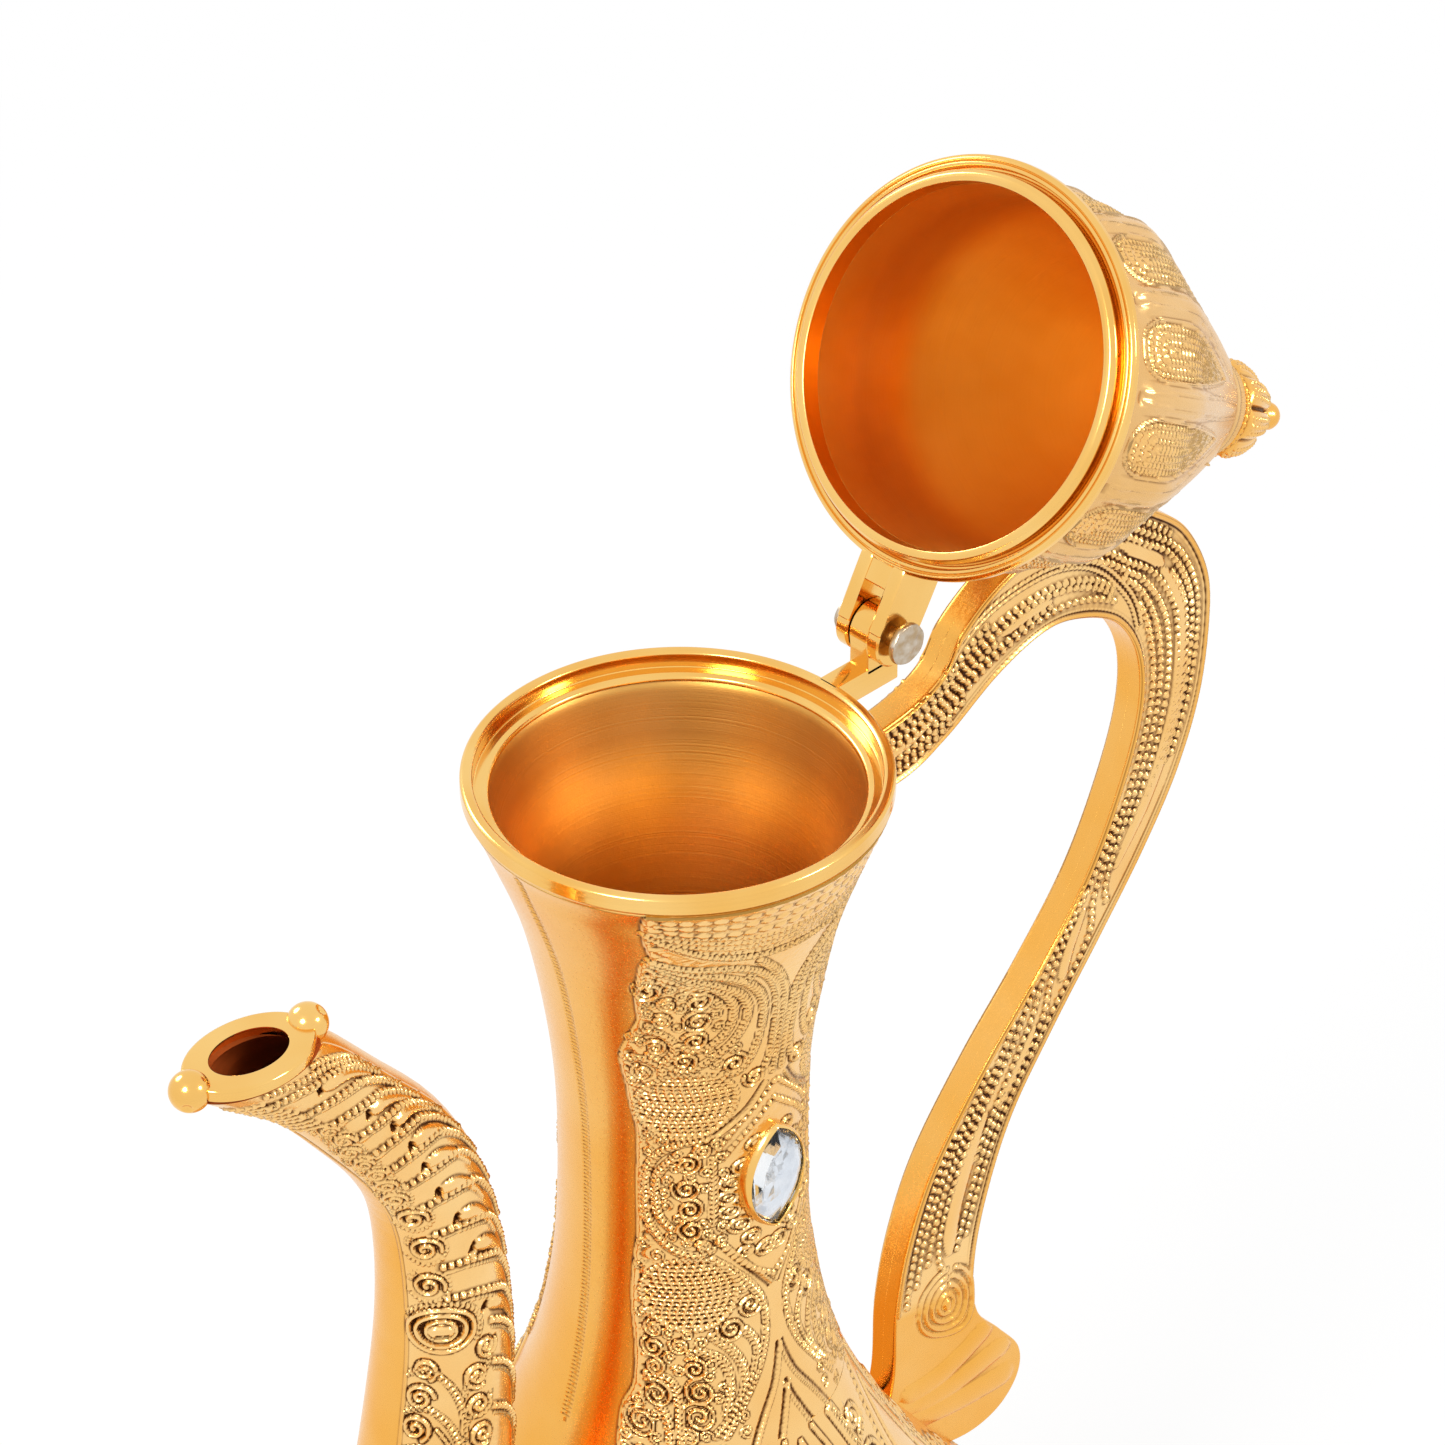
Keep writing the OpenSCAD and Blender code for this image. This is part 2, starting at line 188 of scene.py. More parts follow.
def meshPiece(name, verts, faces, materials, body, slots=None, normals=None, marks=None, sharp=None):
    mesh = bpy.data.meshes.new(name)
    sizes = np.array([len(f) for f in faces])
    loops = np.concatenate([np.asarray(f) for f in faces])
    mesh.vertices.add(len(verts))
    mesh.vertices.foreach_set("co", (np.asarray(verts, float) * mm).astype(np.float32).ravel())
    mesh.loops.add(len(loops))
    mesh.loops.foreach_set("vertex_index", loops.astype(np.int32))
    mesh.polygons.add(len(sizes))
    mesh.polygons.foreach_set("loop_start", np.append(0, np.cumsum(sizes)[:-1]).astype(np.int32))
    if slots is not None:
        mesh.polygons.foreach_set("material_index", np.asarray(slots, np.int32))
    mesh.update(calc_edges=True)
    mesh.shade_smooth()
    if sharp is not None:
        mesh.set_sharp_from_angle(angle=math.radians(sharp))
    for material in materials:
        mesh.materials.append(material)
    for mark, values in (marks or {}).items():
        mesh.attributes.new(mark, "FLOAT", "POINT").data.foreach_set("value", values.astype(np.float32))
    if normals is not None:
        mesh.normals_split_custom_set_from_vertices(normals.astype(np.float32))
    return linked(name, mesh, body)


def linked(name, mesh, body):
    piece = bpy.data.objects.new(name, mesh)
    bpy.context.scene.collection.objects.link(piece)
    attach(piece, body)
    return piece


def gridOf(tall, broad, wrapRows=False, wrapCols=True):
    # the numbers of a grid's points, with the first ones again at the end where it closes
    k = np.arange(tall * broad).reshape(tall, broad)
    return np.pad(k, ((0, int(wrapRows)), (0, int(wrapCols))), mode="wrap")


def quadsOf(k):
    return np.stack([k[:-1, :-1], k[:-1, 1:], k[1:, 1:], k[1:, :-1]], -1).reshape(-1, 4)


def rounded(points, radius, steps=4):
    # a closed outline with small round corners, and its heading at every point
    p = np.array(points, float)
    ahead = np.roll(p, -1, 0) - p
    size = np.linalg.norm(ahead, axis=1)
    way = unit(ahead)
    t = np.linspace(0, 1, steps)[:, None]
    line, heads = [], []
    for k in range(len(p)):
        r = min(radius, 0.48 * size[k], 0.48 * size[k - 1])
        a, b = p[k] - way[k - 1] * r, p[k] + way[k] * r
        line.append((1 - t)**2 * a + 2 * t * (1 - t) * p[k] + t**2 * b)
        heads.append((1 - t) * way[k - 1] + t * way[k])
    return np.vstack(line), unit(np.vstack(heads))


def lathePiece(name, outline, radius, material, body, move):
    # a closed ring turned round the pot's axis; the outline runs anticlockwise in radius and height
    line, heads = rounded(outline, radius)
    count = 288
    angles = np.linspace(0, 360, count, endpoint=False)
    verts = move(lathe(line, angles).reshape(-1, 3))
    ends = move(lathe(line + np.stack([heads[:, 1], -heads[:, 0]], 1), angles).reshape(-1, 3))
    faces = quadsOf(gridOf(len(line), count, True))
    return meshPiece(name, verts, faces, [material], body, normals=ends - verts)


def loftPiece(name, rings, material, body, sharp, loop=True):
    # rings of equally many points joined in order; the ends are joined to each other, or closed
    n = len(rings[0])
    faces = list(quadsOf(gridOf(len(rings), n, loop))[:, [0, 3, 2, 1]])
    if not loop:
        faces += [np.arange(n), np.arange(n)[::-1] + (len(rings) - 1) * n]
    return meshPiece(name, np.vstack(rings), faces, [material], body, sharp=sharp)


def thinned(count, step):
    # every few lines of a grid, and the last
    return np.unique(np.append(np.arange(0, count, step), count - 1))


def thickened(name, sheet, inner, materials, body, parts, every, mirror=False):
    # a closed piece: the carved sheet outside, a coarser grid of the same sheet inside, and rims
    h = sheet["h"] * sheet.get("cut", 1)
    wrap = sheet["wrap"]
    outer = sheet["p"] + sheet["n"] * h[:, :, None]
    normal, lining = gridNormals(outer, wrap), gridNormals(inner, wrap)
    normal *= np.sign((normal * sheet["n"]).sum())
    lining *= -np.sign((lining * sheet["n"]).sum())
    if not wrap:                                # both halves share the normals of the middle plane
        for grid in (normal, lining):
            grid[:, [0, -1], 1] = 0
        normal, lining = unit(normal), unit(lining)
    # how far each point lies below its blurred surroundings: this darkens the recesses, partly as patina and
    # partly as painted shade
    hollow = ease(blurred(h, 14) - h, 0.18) * sheet.get("soil", 1)
    if mirror:
        outer, inner, normal, lining = [grid * [1, -1, 1] for grid in (outer, inner, normal, lining)]
    tall, broad = h.shape
    edges = np.linspace(0, tall - 1, parts + 1).astype(int)
    made = []
    for k, (a, b) in enumerate(zip(edges[:-1], edges[1:] + 1)):
        rowsAt, colsAt = thinned(b - a, every[0]), thinned(broad + wrap, every[1])
        kept = colsAt[:-1] if wrap else colsAt
        front = gridOf(b - a, broad, wrapCols=wrap)
        back = (b - a) * broad + gridOf(len(rowsAt), len(kept), wrapCols=wrap)
        behind = [grid[a:b][rowsAt][:, kept].reshape(-1, 3) for grid in (inner, lining)]
        quads, inside, rims = quadsOf(front), quadsOf(back)[:, [0, 3, 2, 1]], []
        borders = [(colsAt, ((front[0], back[0], -1), (front[-1], back[-1], 1)))]
        if not wrap:
            borders.append((rowsAt, ((front[:, 0], back[:, 0], 1), (front[:, -1], back[:, -1], -1))))
        for stops, pair in borders:
            for c, (u, v) in enumerate(zip(stops[:-1], stops[1:])):
                for edge, hem, way in pair:
                    rims.append(np.append(edge[u:v + 1][::way], hem[c:c + 2][::-way]))
        slots = [0] * len(quads) + [len(materials) - 1] * (len(inside) + len(rims))
        faces = list(quads) + list(inside) + rims
        verts, normals = [np.vstack([grid[a:b].reshape(-1, 3), end])
                          for grid, end in zip((outer, normal), behind)]
        middle = quads[len(quads) // 2]
        u, v, w = verts[middle[:3]]
        if np.dot(np.cross(v - u, w - u), normals[middle[0]]) < 0:
            faces = [f[::-1] for f in faces]
        bare = np.zeros(len(behind[0]))
        marks = {"hollow": np.append(hollow[a:b], bare), "worked": np.append(sheet["worked"][a:b], bare)}
        title = name if parts == 1 else f"{name}{k + 1}"
        made.append(meshPiece(title, verts, faces, materials, body, slots, normals, marks))
    return made


def goldPlated(pieces, node):
    # hides the node, once for each of the pieces that take its place
    for piece in pieces:
        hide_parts(node)


def castHalves(name, node, half, materials, parts, every):
    # the left casting as drawn, and the right one mirrored; the node of each side is hidden
    for side, mirror in (("left", False), ("right", True)):
        sheet, inner = half(mirror)
        shells = thickened(name + side, sheet, inner, materials, "pot", parts, every, mirror)
        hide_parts(node + side)


def linear(hexColour):
    parts = [int(hexColour[k:k + 2], 16) / 255 for k in (1, 3, 5)]
    return [v / 12.92 if v <= 0.04045 else ((v + 0.055) / 1.055)**2.4 for v in parts] + [1.0]


def fit(tree, node, settings):
    # each setting is a value, another node's output, or the stops of a ramp
    for key, value in settings.items():
        if isinstance(value, bpy.types.NodeSocket):
            tree.links.new(value, node.inputs[key])
        elif key == "stops":
            marks = node.color_ramp.elements
            while len(marks) < len(value):
                marks.new(0.5)
            for mark, (place, colour) in zip(marks, value):
                mark.position, mark.color = place, linear(colour)
        elif isinstance(key, int) or key in node.inputs:
            node.inputs[key].default_value = value
        else:
            setattr(node, key, value)
    return node


def add(tree, kind, settings, output=0):
    return fit(tree, tree.nodes.new("ShaderNode" + kind), settings).outputs[output]


def newMaterial(name):
    material = bpy.data.materials.new(name)
    material.use_nodes = True
    tree = material.node_tree
    return material, tree, tree.nodes["Principled BSDF"], add(tree, "TexCoord", {}, "Object")


# the colours for the recesses are partly patina and partly painted shade
castGoldLook = {"field": ("#F7C377", "#FBD08B"), "plain": ("#F3B14F", "#F5BA62"), "recess": "#8A4F1C",
                "deep": "#45230C",
                "roughField": (0.12, 0.26), "roughPlain": (0.18, 0.3), "roughDirt": 0.5, "grain": 0.45,
                "cloud": 16.0,
                "pores": 0.05}


def castGold(name, **changes):
    # brass cast with its relief, gold plated and wiped: bright high spots; the recesses are darkened, partly
    # by patina and partly by painted shade
    look = dict(castGoldLook, **changes)
    material, tree, shader, place = newMaterial(name)
    hollow, worked = [add(tree, "Attribute", {"attribute_name": mark}, "Fac")
                      for mark in ("hollow", "worked")]
    cloud, grain = [add(tree, "TexNoise", {"Vector": place, "Scale": 1 / (look[size] * mm), "Detail": detail})
                    for size, detail in (("cloud", 3.0), ("grain", 2.0))]
    plain, field = [add(tree, "ValToRGB", {"Fac": cloud, "stops": [(0.35, look[k][0]), (0.65, look[k][1])]})
                    for k in ("plain", "field")]
    base = add(tree, "Mix", {"data_type": "RGBA", 0: worked, 6: plain, 7: field}, 2)
    # the recesses get a darker colour: partly patina, partly painted shade
    patinaShadeColour = add(tree, "ValToRGB", {"Fac": hollow, "stops": [(0.25, look["recess"]), (1.0, look["deep"])]})
    share = add(tree, "MapRange", {"Value": hollow, "From Min": 0.2, "From Max": 0.85})
    fine, coarse = [add(tree, "MapRange", {"Value": grain, "From Min": 0.3, "From Max": 0.75,
                                           "To Min": look[k][0], "To Max": look[k][1]})
                    for k in ("roughPlain", "roughField")]
    rough = add(tree, "Mix", {0: worked, 2: fine, 3: coarse})
    fit(tree, shader, {
        "Base Color": add(tree, "Mix", {"data_type": "RGBA", 0: share, 6: base, 7: patinaShadeColour}, 2),
        "Roughness": add(tree, "Mix", {0: share, 2: rough, 3: look["roughDirt"]}), "Metallic": 1.0,
        "Normal": add(tree, "Bump", {"Height": grain, "Strength": 0.2, "Distance": look["pores"] * mm})})
    return material


turnedGoldLook = {"cloud": 14.0, "grit": 0.3, "gritShare": 0.35, "groove": 0.04}


def turnedGold(name, axis, light, dark, ringGap, roughness, strength, band=None):
    # turned on a lathe and plated: satin, with fine rings round the axis
    look = turnedGoldLook
    material, tree, shader, place = newMaterial(name)
    shift = add(tree, "VectorMath", {"operation": "SUBTRACT", 0: place, 1: [v * mm for v in axis[0]]})
    along = add(tree, "VectorMath", {"operation": "DOT_PRODUCT", 0: shift, 1: axis[1]}, "Value")
    lines = add(tree, "TexNoise", {"noise_dimensions": "1D", "W": along, "Scale": 1 / (ringGap * mm),
                                   "Detail": 3.0})
    cloud, grit = [add(tree, "TexNoise", {"Vector": place, "Scale": 1 / (look[size] * mm), "Detail": detail})
                   for size, detail in (("cloud", 2.0), ("grit", 1.0))]
    base = add(tree, "ValToRGB", {"Fac": cloud, "stops": [(0.3, dark), (0.7, light)]})
    if band:                                    # painted shade: a darker band below the rim
        low, high, tint = band
        height = add(tree, "SeparateXYZ", {0: place}, "Z")
        share = add(tree, "MapRange", {"Value": height, "From Min": low * mm, "From Max": high * mm})
        paintedRimShade = add(tree, "ValToRGB", {"Fac": share, "stops": [(0.0, "#FFFFFF"), (0.45, tint), (0.85, tint),
                                                               (1.0, "#FFFFFF")]})
        base = add(tree, "Mix", {"data_type": "RGBA", "blend_type": "MULTIPLY", 0: 1.0, 6: base, 7: paintedRimShade}, 2)
    both = add(tree, "Math", {"operation": "MULTIPLY_ADD", 0: grit, 1: look["gritShare"], 2: lines})
    fit(tree, shader, {
        "Base Color": base, "Metallic": 1.0,
        "Roughness": add(tree, "MapRange", {"Value": lines, "From Min": 0.3, "From Max": 0.7,
                                            "To Min": roughness[0], "To Max": roughness[1]}),
        "Normal": add(tree, "Bump", {"Height": both, "Strength": strength, "Distance": look["groove"] * mm})})
    return material


def hammeredSteel(name):
    # soft steel rivet, hammered over: pale grey with small flat dents
    material, tree, shader, place = newMaterial(name)
    dents = add(tree, "TexVoronoi", {"Vector": place, "Scale": 1 / (0.8 * mm)})
    cloud = add(tree, "TexNoise", {"Vector": place, "Scale": 1 / (1.5 * mm), "Detail": 3.0})
    base = add(tree, "ValToRGB", {"Fac": cloud, "stops": [(0.35, "#B79E7C"), (0.65, "#CFC3B2")]})
    fit(tree, shader, {"Base Color": base,
                       "Normal": add(tree, "Bump", {"Height": dents, "Strength": 0.5, "Distance": 0.08 * mm}),
                       "Metallic": 1.0, "Roughness": 0.36})
    return material


def cutGlass(name):
    # pressed and foil-backed lead glass: clear, sharp facets
    material, tree, shader, place = newMaterial(name)
    haze = add(tree, "TexNoise", {"Vector": place, "Scale": 1 / (4 * mm)})
    base = add(tree, "ValToRGB", {"Fac": haze, "stops": [(0.3, "#E6ECF2"), (0.7, "#FFFFFF")]})
    fit(tree, shader, {"Base Color": base, "Roughness": 0.03, "IOR": 1.46, "Transmission Weight": 1.0})
    return material


def silverFoil(name):
    # thin silvered backing under the stone: bright and creased
    material, tree, shader, place = newMaterial(name)
    crease = add(tree, "TexVoronoi", {"Vector": place, "Scale": 1 / (2.2 * mm)})
    base = add(tree, "ValToRGB", {"Fac": crease, "stops": [(0.0, "#DCDEE4"), (0.6, "#F8F8FA")]})
    fit(tree, shader, {"Base Color": base, "Metallic": 1.0, "Roughness": 0.14})
    return material


print("materials")
potAxis = ((0, 0, 0), (0, 0, 1))
lidAxis = ((hingeX, 0, hingeZ), (math.sin(openAngle), 0, math.cos(openAngle)))
brightLook = ("#F8CC7C", "#F2BC64", 0.5, (0.1, 0.2), 0.12)
reliefGold = castGold("gold_plate_over_cast_relief")
lidReliefGold = castGold("gold_plate_over_cast_lid", plain=("#EBBB78", "#F1C88F"), roughPlain=(0.24, 0.36))
# the band from 17 to 3 mm below the rim is painted shade under the rim
insideGold = turnedGold("satin_turned_gold_inside", potAxis, "#F5C069", "#EDB457", 0.28, (0.3, 0.46), 0.5,
                        (rimTop - 17, rimTop - 3, "#CDBFBE"))
wheelGold = turnedGold("bright_turned_gold", potAxis, *brightLook)
lidInsideGold = turnedGold("satin_turned_gold_lid", lidAxis, "#F2B95C", "#E9A846", 0.3, (0.34, 0.48), 0.3)
lidWheelGold = turnedGold("bright_turned_gold_lid", lidAxis, *brightLook)
spoutLining = turnedGold("dark_unplated_brass", potAxis, "#C4602A", "#A24A1C", 0.6, (0.45, 0.6), 0.3)
rivetSteel = hammeredSteel("hammered_rivet_steel")
stoneGlass = cutGlass("cut_glass_stone")
foil = silverFoil("silvered_foil")


def pen(sheet, place, sides=(1,)):
    # draws on a sheet; the spacing of the stamps is in real millimetres along the surface
    def stroke(points, gap, long, wide, high, lean=0, dent=False, start=0.0):
        for side in sides:
            p = np.array(points, float) * [side, 1]
            p = pick(p, np.arange(len(p)), np.linspace(0, len(p) - 1, max(24, 3 * len(p))))
            col, row = place(p[:, 0], p[:, 1])
            far = alongCurve(onSheet(sheet, col, row)[2])
            first = start * gap
            want = np.linspace(first, far[-1], max(2, int(round((far[-1] - first) / gap)) + 1))
            col, row = pick(np.stack([col, row], 1), far, want).T
            press(sheet, col, row, (long, wide, high), lean * side, dent)
    return stroke


def shifted(points, off):
    # the same line moved sideways
    way = unit(np.gradient(points, axis=0))
    return points + off * np.stack([way[:, 1], -way[:, 0]], 1)


def wire(stroke, points, wide=0.6, high=0.42):
    # a smooth round wire with a sunk line on both sides
    stroke(points, 0.25, wide * 0.95, wide * 0.95, high * 0.45, dent=True)
    stroke(points, 0.15, wide * 0.5, wide * 0.5, high * 1.4)


def rope(stroke, points, wide=1.35, high=0.36):
    # a flat plait: a low round between two sunk lines, with two staggered rows of slanting nicks
    stroke(points, 0.25, wide * 0.68, wide * 0.68, high * 0.5, dent=True)
    stroke(points, 0.2, wide * 0.52, wide * 0.52, high * 1.5)
    for side, start in ((-1, 0.0), (1, 0.5)):
        nicks = shifted(points, side * wide * 0.22)
        stroke(nicks, 0.84, 0.34, 0.22, high * 1.7, lean=-38 * side, dent=True, start=start)


def beads(stroke, points, size=0.95, gap=1.1, high=0.5):
    # a row of balls with a pit between every two
    stroke(points, gap, size / 2, size / 2, high)
    stroke(points, gap, size * 0.22, size * 0.3, high * 0.55, dent=True, start=0.5)


def taper(stroke, line, wide, lift):
    # a tongue that changes its half width along the line
    for a, b, w in zip(line[:-1], line[1:], wide):
        stroke([a, b], 0.5, w, w, lift(w))


def spiral(r, turns, start, hand=1):
    t = np.linspace(0, 1, 60)
    a = np.radians(start) + hand * t * turns * 2 * math.pi
    far = r * (1 - 0.86 * t)
    return np.stack([far * np.cos(a), far * np.sin(a)], 1)


def ring(rx, ry, start=0, end=360):
    return circle(90, start, end, True) * [rx, ry]


potShape = {"wall": 2.4, "seam": 3.4, "joint": 105, "bottom": 214,
            # radius, depth below the rim
            "curve": [(29.5, 3.4), (27.5, 8), (22, 24), (18.5, 45), (17.7, 64), (18.9, 86), (23.2, 105),
                      (32.76, 125), (47.16, 145), (57.79, 159), (62, 172), (58.9, 185.02), (47.82, 197.62),
                      (32.76, 207.7), (24, 214)]}
potLine = bend(potShape["curve"], 12)


def bodyRadius(depth):
    return np.interp(depth, potLine[:, 1], potLine[:, 0])


def bodySheet(top, bottom, shape, field="field"):
    # the pot's left half between two depths; the columns are fine inside the field
    part = (potLine[:, 1] >= top - 0.01) & (potLine[:, 1] <= bottom + 0.01)
    line = evenly(potLine[part], shape["rowGap"])
    first, last = shape[field]
    fine = math.degrees(shape["colGap"] / line[:, 0].min())
    angles = np.concatenate([np.arange(-180, first, 2.0), np.arange(first, last, fine),
                             np.linspace(last, 0, 1 + int(-last / 2))])
    return makeSheet(line[:, 1], angles, lathe(line * [1, -1] + [0, rimTop], angles))


def insideOf(sheet):
    # the same sheet moved inwards by the wall, kept below its own top edge
    inner = sheet["p"] - sheet["n"] * potShape["wall"]
    inner[:, :, 2] = np.minimum(inner[:, :, 2], sheet["p"][0, 0, 2])
    return inner


def keptOut(points, under):
    # points that would reach into the pot are moved out into the thickness of its wall
    far = np.hypot(points[..., 0], points[..., 1])
    depth = rimTop - points[..., 2]
    limit = np.where((depth > potShape["seam"]) & (depth < potShape["bottom"]), bodyRadius(depth) - under, 0)
    grow = np.maximum(1, limit / np.maximum(far, 1e-6))[..., None]
    return points * np.concatenate([grow, grow, 1 + 0 * grow], -1)


neckShape = {"rowGap": 0.2, "colGap": 0.22, "field": (-162, -18), "farField": (-179.5, -18)}
neckDrawing = {
    # millimetres round the neck from the middle of the half, depth below the rim
    "border": [(-27.5, 3.4), (-27, 6), (-26, 9), (-24.4, 12), (-23.8, 13.4), (-24.6, 15), (-24.2, 18),
               (-23.8, 22), (-23, 25), (-22.4, 27.3), (-23.2, 31), (-24, 35), (-23.4, 38), (-22.5, 41),
               (-21.6, 45), (-20.3, 50), (-20.2, 60), (-20.3, 68), (-21, 73), (-21.7, 80), (-21.9, 88),
               (-23, 94), (-25.5, 98), (-28, 105)],
    "raise": 0.32, "grain": 0.014, "lumps": 0.1, "farSide": 34, "seamAt": 87,
    "seat": (60.5, 8.4, 4.8), "seatDepth": 1.0,
    "ropes": [
        [(-26.3, 7.6), (-21, 10.4), (-15, 13), (-8, 14.6), (0, 15.1)],
        [(-23.8, 13.8), (-18, 15.6), (-11, 16.6), (-6, 19.5), (-3, 24), (-1.9, 30), (-1.8, 36), (-2.4, 39.5)],
        [(-23, 14.8), (-17, 16.9), (-12, 18.3), (-8, 20.8), (-5.2, 24.5), (-4.2, 29), (-4.4, 33.5),
         (-5.2, 36.5), (-6.8, 38.6), (-8.8, 38.3)],
        [(-21.5, 15.8), (-17, 18), (-12.5, 20), (-9, 22.5), (-7.1, 25.8), (-7, 29), (-8.4, 32.3), (-11, 35),
         (-14, 36.9), (-16.8, 36.2)],
        [(-19.5, 17), (-15.5, 19.2), (-12, 21.3), (-9.8, 24), (-9, 27), (-9.6, 30), (-11.4, 32.2),
         (-13.8, 33), (-15.6, 32)],
        [(-7.5, 16), (-3.8, 20), (-1.2, 25), (-0.6, 30), (-0.6, 36), (-0.8, 41)],
        [(-23, 31.4), (-20.5, 29.3), (-17.6, 30.4), (-16.3, 33), (-17.6, 35.2), (-19.6, 34)],
        [(-23.3, 35.4), (-20.4, 35), (-18, 36.2), (-17.4, 38)],
        [(-10.5, 50.6), (-14, 51.2), (-17, 53.2), (-18.6, 56.5), (-18.9, 60), (-18.8, 64), (-17.5, 67.5),
         (-15, 70.4), (-12, 71.5), (-9.6, 70.8)],
        [(-15.2, 54.3), (-17, 57), (-17.4, 60.5), (-16.8, 64.5), (-15, 66.8)],
        [(-9.4, 54.5), (-9.2, 60), (-9.3, 66)],
        [(-9.5, 72.6), (-6.8, 75.5), (-5.2, 79)],
        [(-7.5, 74.5), (-4.2, 78.5), (-2.2, 83), (-2.4, 88), (-4, 92.5), (-7, 97), (-11, 102)],
        [(-5.6, 86), (-4.1, 89), (-5, 93.2), (-8.2, 98), (-12.5, 101.8)],
        [(-10.5, 85.8), (-8, 88.6), (-6.6, 92), (-7.2, 96), (-10.4, 100)],
        [(-12.6, 88), (-9.6, 90), (-8.8, 94), (-10.2, 98.5)],
        [(-20.5, 92), (-17.6, 92.6), (-16.6, 95.5), (-17.2, 100), (-18, 104.5)],
        [(-19.4, 97), (-18.8, 100), (-19.5, 104.5)]],
    "beads": [[(-0.4, 43.4), (-3.5, 46.6), (-6.5, 49.8), (-8.6, 52.6)],
              [(0, 46.6), (-3, 49.4), (-5.8, 52), (-7.4, 54)],
              [(-9.4, 68.5), (-6.5, 72.8), (-3.2, 76.3), (0, 78.6)]],
    "grooves": [[(-2.4, 42.5), (-5, 46.3), (-9.4, 49.8)], [(-8.4, 70.5), (-5, 75), (-1, 80.4)],
                [(-0.5, 90.5), (-2.3, 96), (-5.5, 101), (-8, 105)], [(-0.1, 97), (-1.6, 101), (-3.4, 105)]],
    "spirals": [
        (-22, 20.7, 2.0), (-14.6, 23, 1.8), (-13.9, 27, 2.1), (-13.8, 31, 1.7), (-14.8, 35.1, 2.1),
        (-7.6, 36.7, 1.7), (-4, 40.6, 1.6), (-19, 27, 1.3), (-18.8, 23.4, 1.2), (-19, 32.4, 1.4),
        (-20.3, 37.6, 1.3), (-12.8, 55, 1.6), (-13, 59.5, 1.9), (-12.6, 63.2, 1.8), (-12.4, 66.9, 1.9),
        (-10.8, 70, 1.0), (-10.8, 52.6, 1.2), (-4.4, 82, 2.1), (-7.6, 85.2, 1.9), (-13.6, 91, 1.7),
        (-13.3, 94.8, 2.1), (-14.2, 98.7, 2.3), (-19, 87.4, 1.5), (-19.2, 90.6, 1.3), (-15.3, 87, 1.2),
        (-19.6, 95, 2.1), (-22.7, 99.6, 2.4), (-16.2, 101.6, 1.2), (-18.6, 84.3, 1.2)],
    "curls": [(-4.8, 57, 1.4), (-6.6, 59.4, 1.5), (-7.2, 62, 1.3), (-6.9, 64.5, 1.3), (-5.4, 67.4, 1.5),
              (-3.6, 70.2, 1.2), (-1.2, 73.2, 1.4), (-2.8, 53.6, 1.3), (-4.6, 72.4, 1.0)],
    "discs": [(-13.6, 44, 7.2, 6.2), (-13, 78.4, 7, 6.2)],
    "fill": {"across": (-27, -8), "down": (19, 104), "gap": 0.9, "shake": 0.4, "apart": 4.4, "busy": 0.028},
}


def neckPlace(x, y):
    return -90 + np.degrees(x / bodyRadius(y)), y


def hatchDisc(stroke, x, y, rx, ry, gapX=1.12, gapY=0.74):
    # a rope ring filled with rows of short sunk dashes, like basket work
    rope(stroke, ring(rx, ry) + [x, y], 0.8, 0.3)
    for k, row in enumerate(np.arange(y - ry + 0.95, y + ry - 0.6, gapY)):
        half = rx * math.sqrt(max(0, 1 - ((row - y) / ry)**2)) - 0.9
        if half > 0.6:
            line = [(x - half + 0.5 * gapX * (k % 2), row), (x + half, row)]
            stroke(line, gapX, 0.42, 0.26, 0.62, lean=8 * (-1)**k, dent=True)


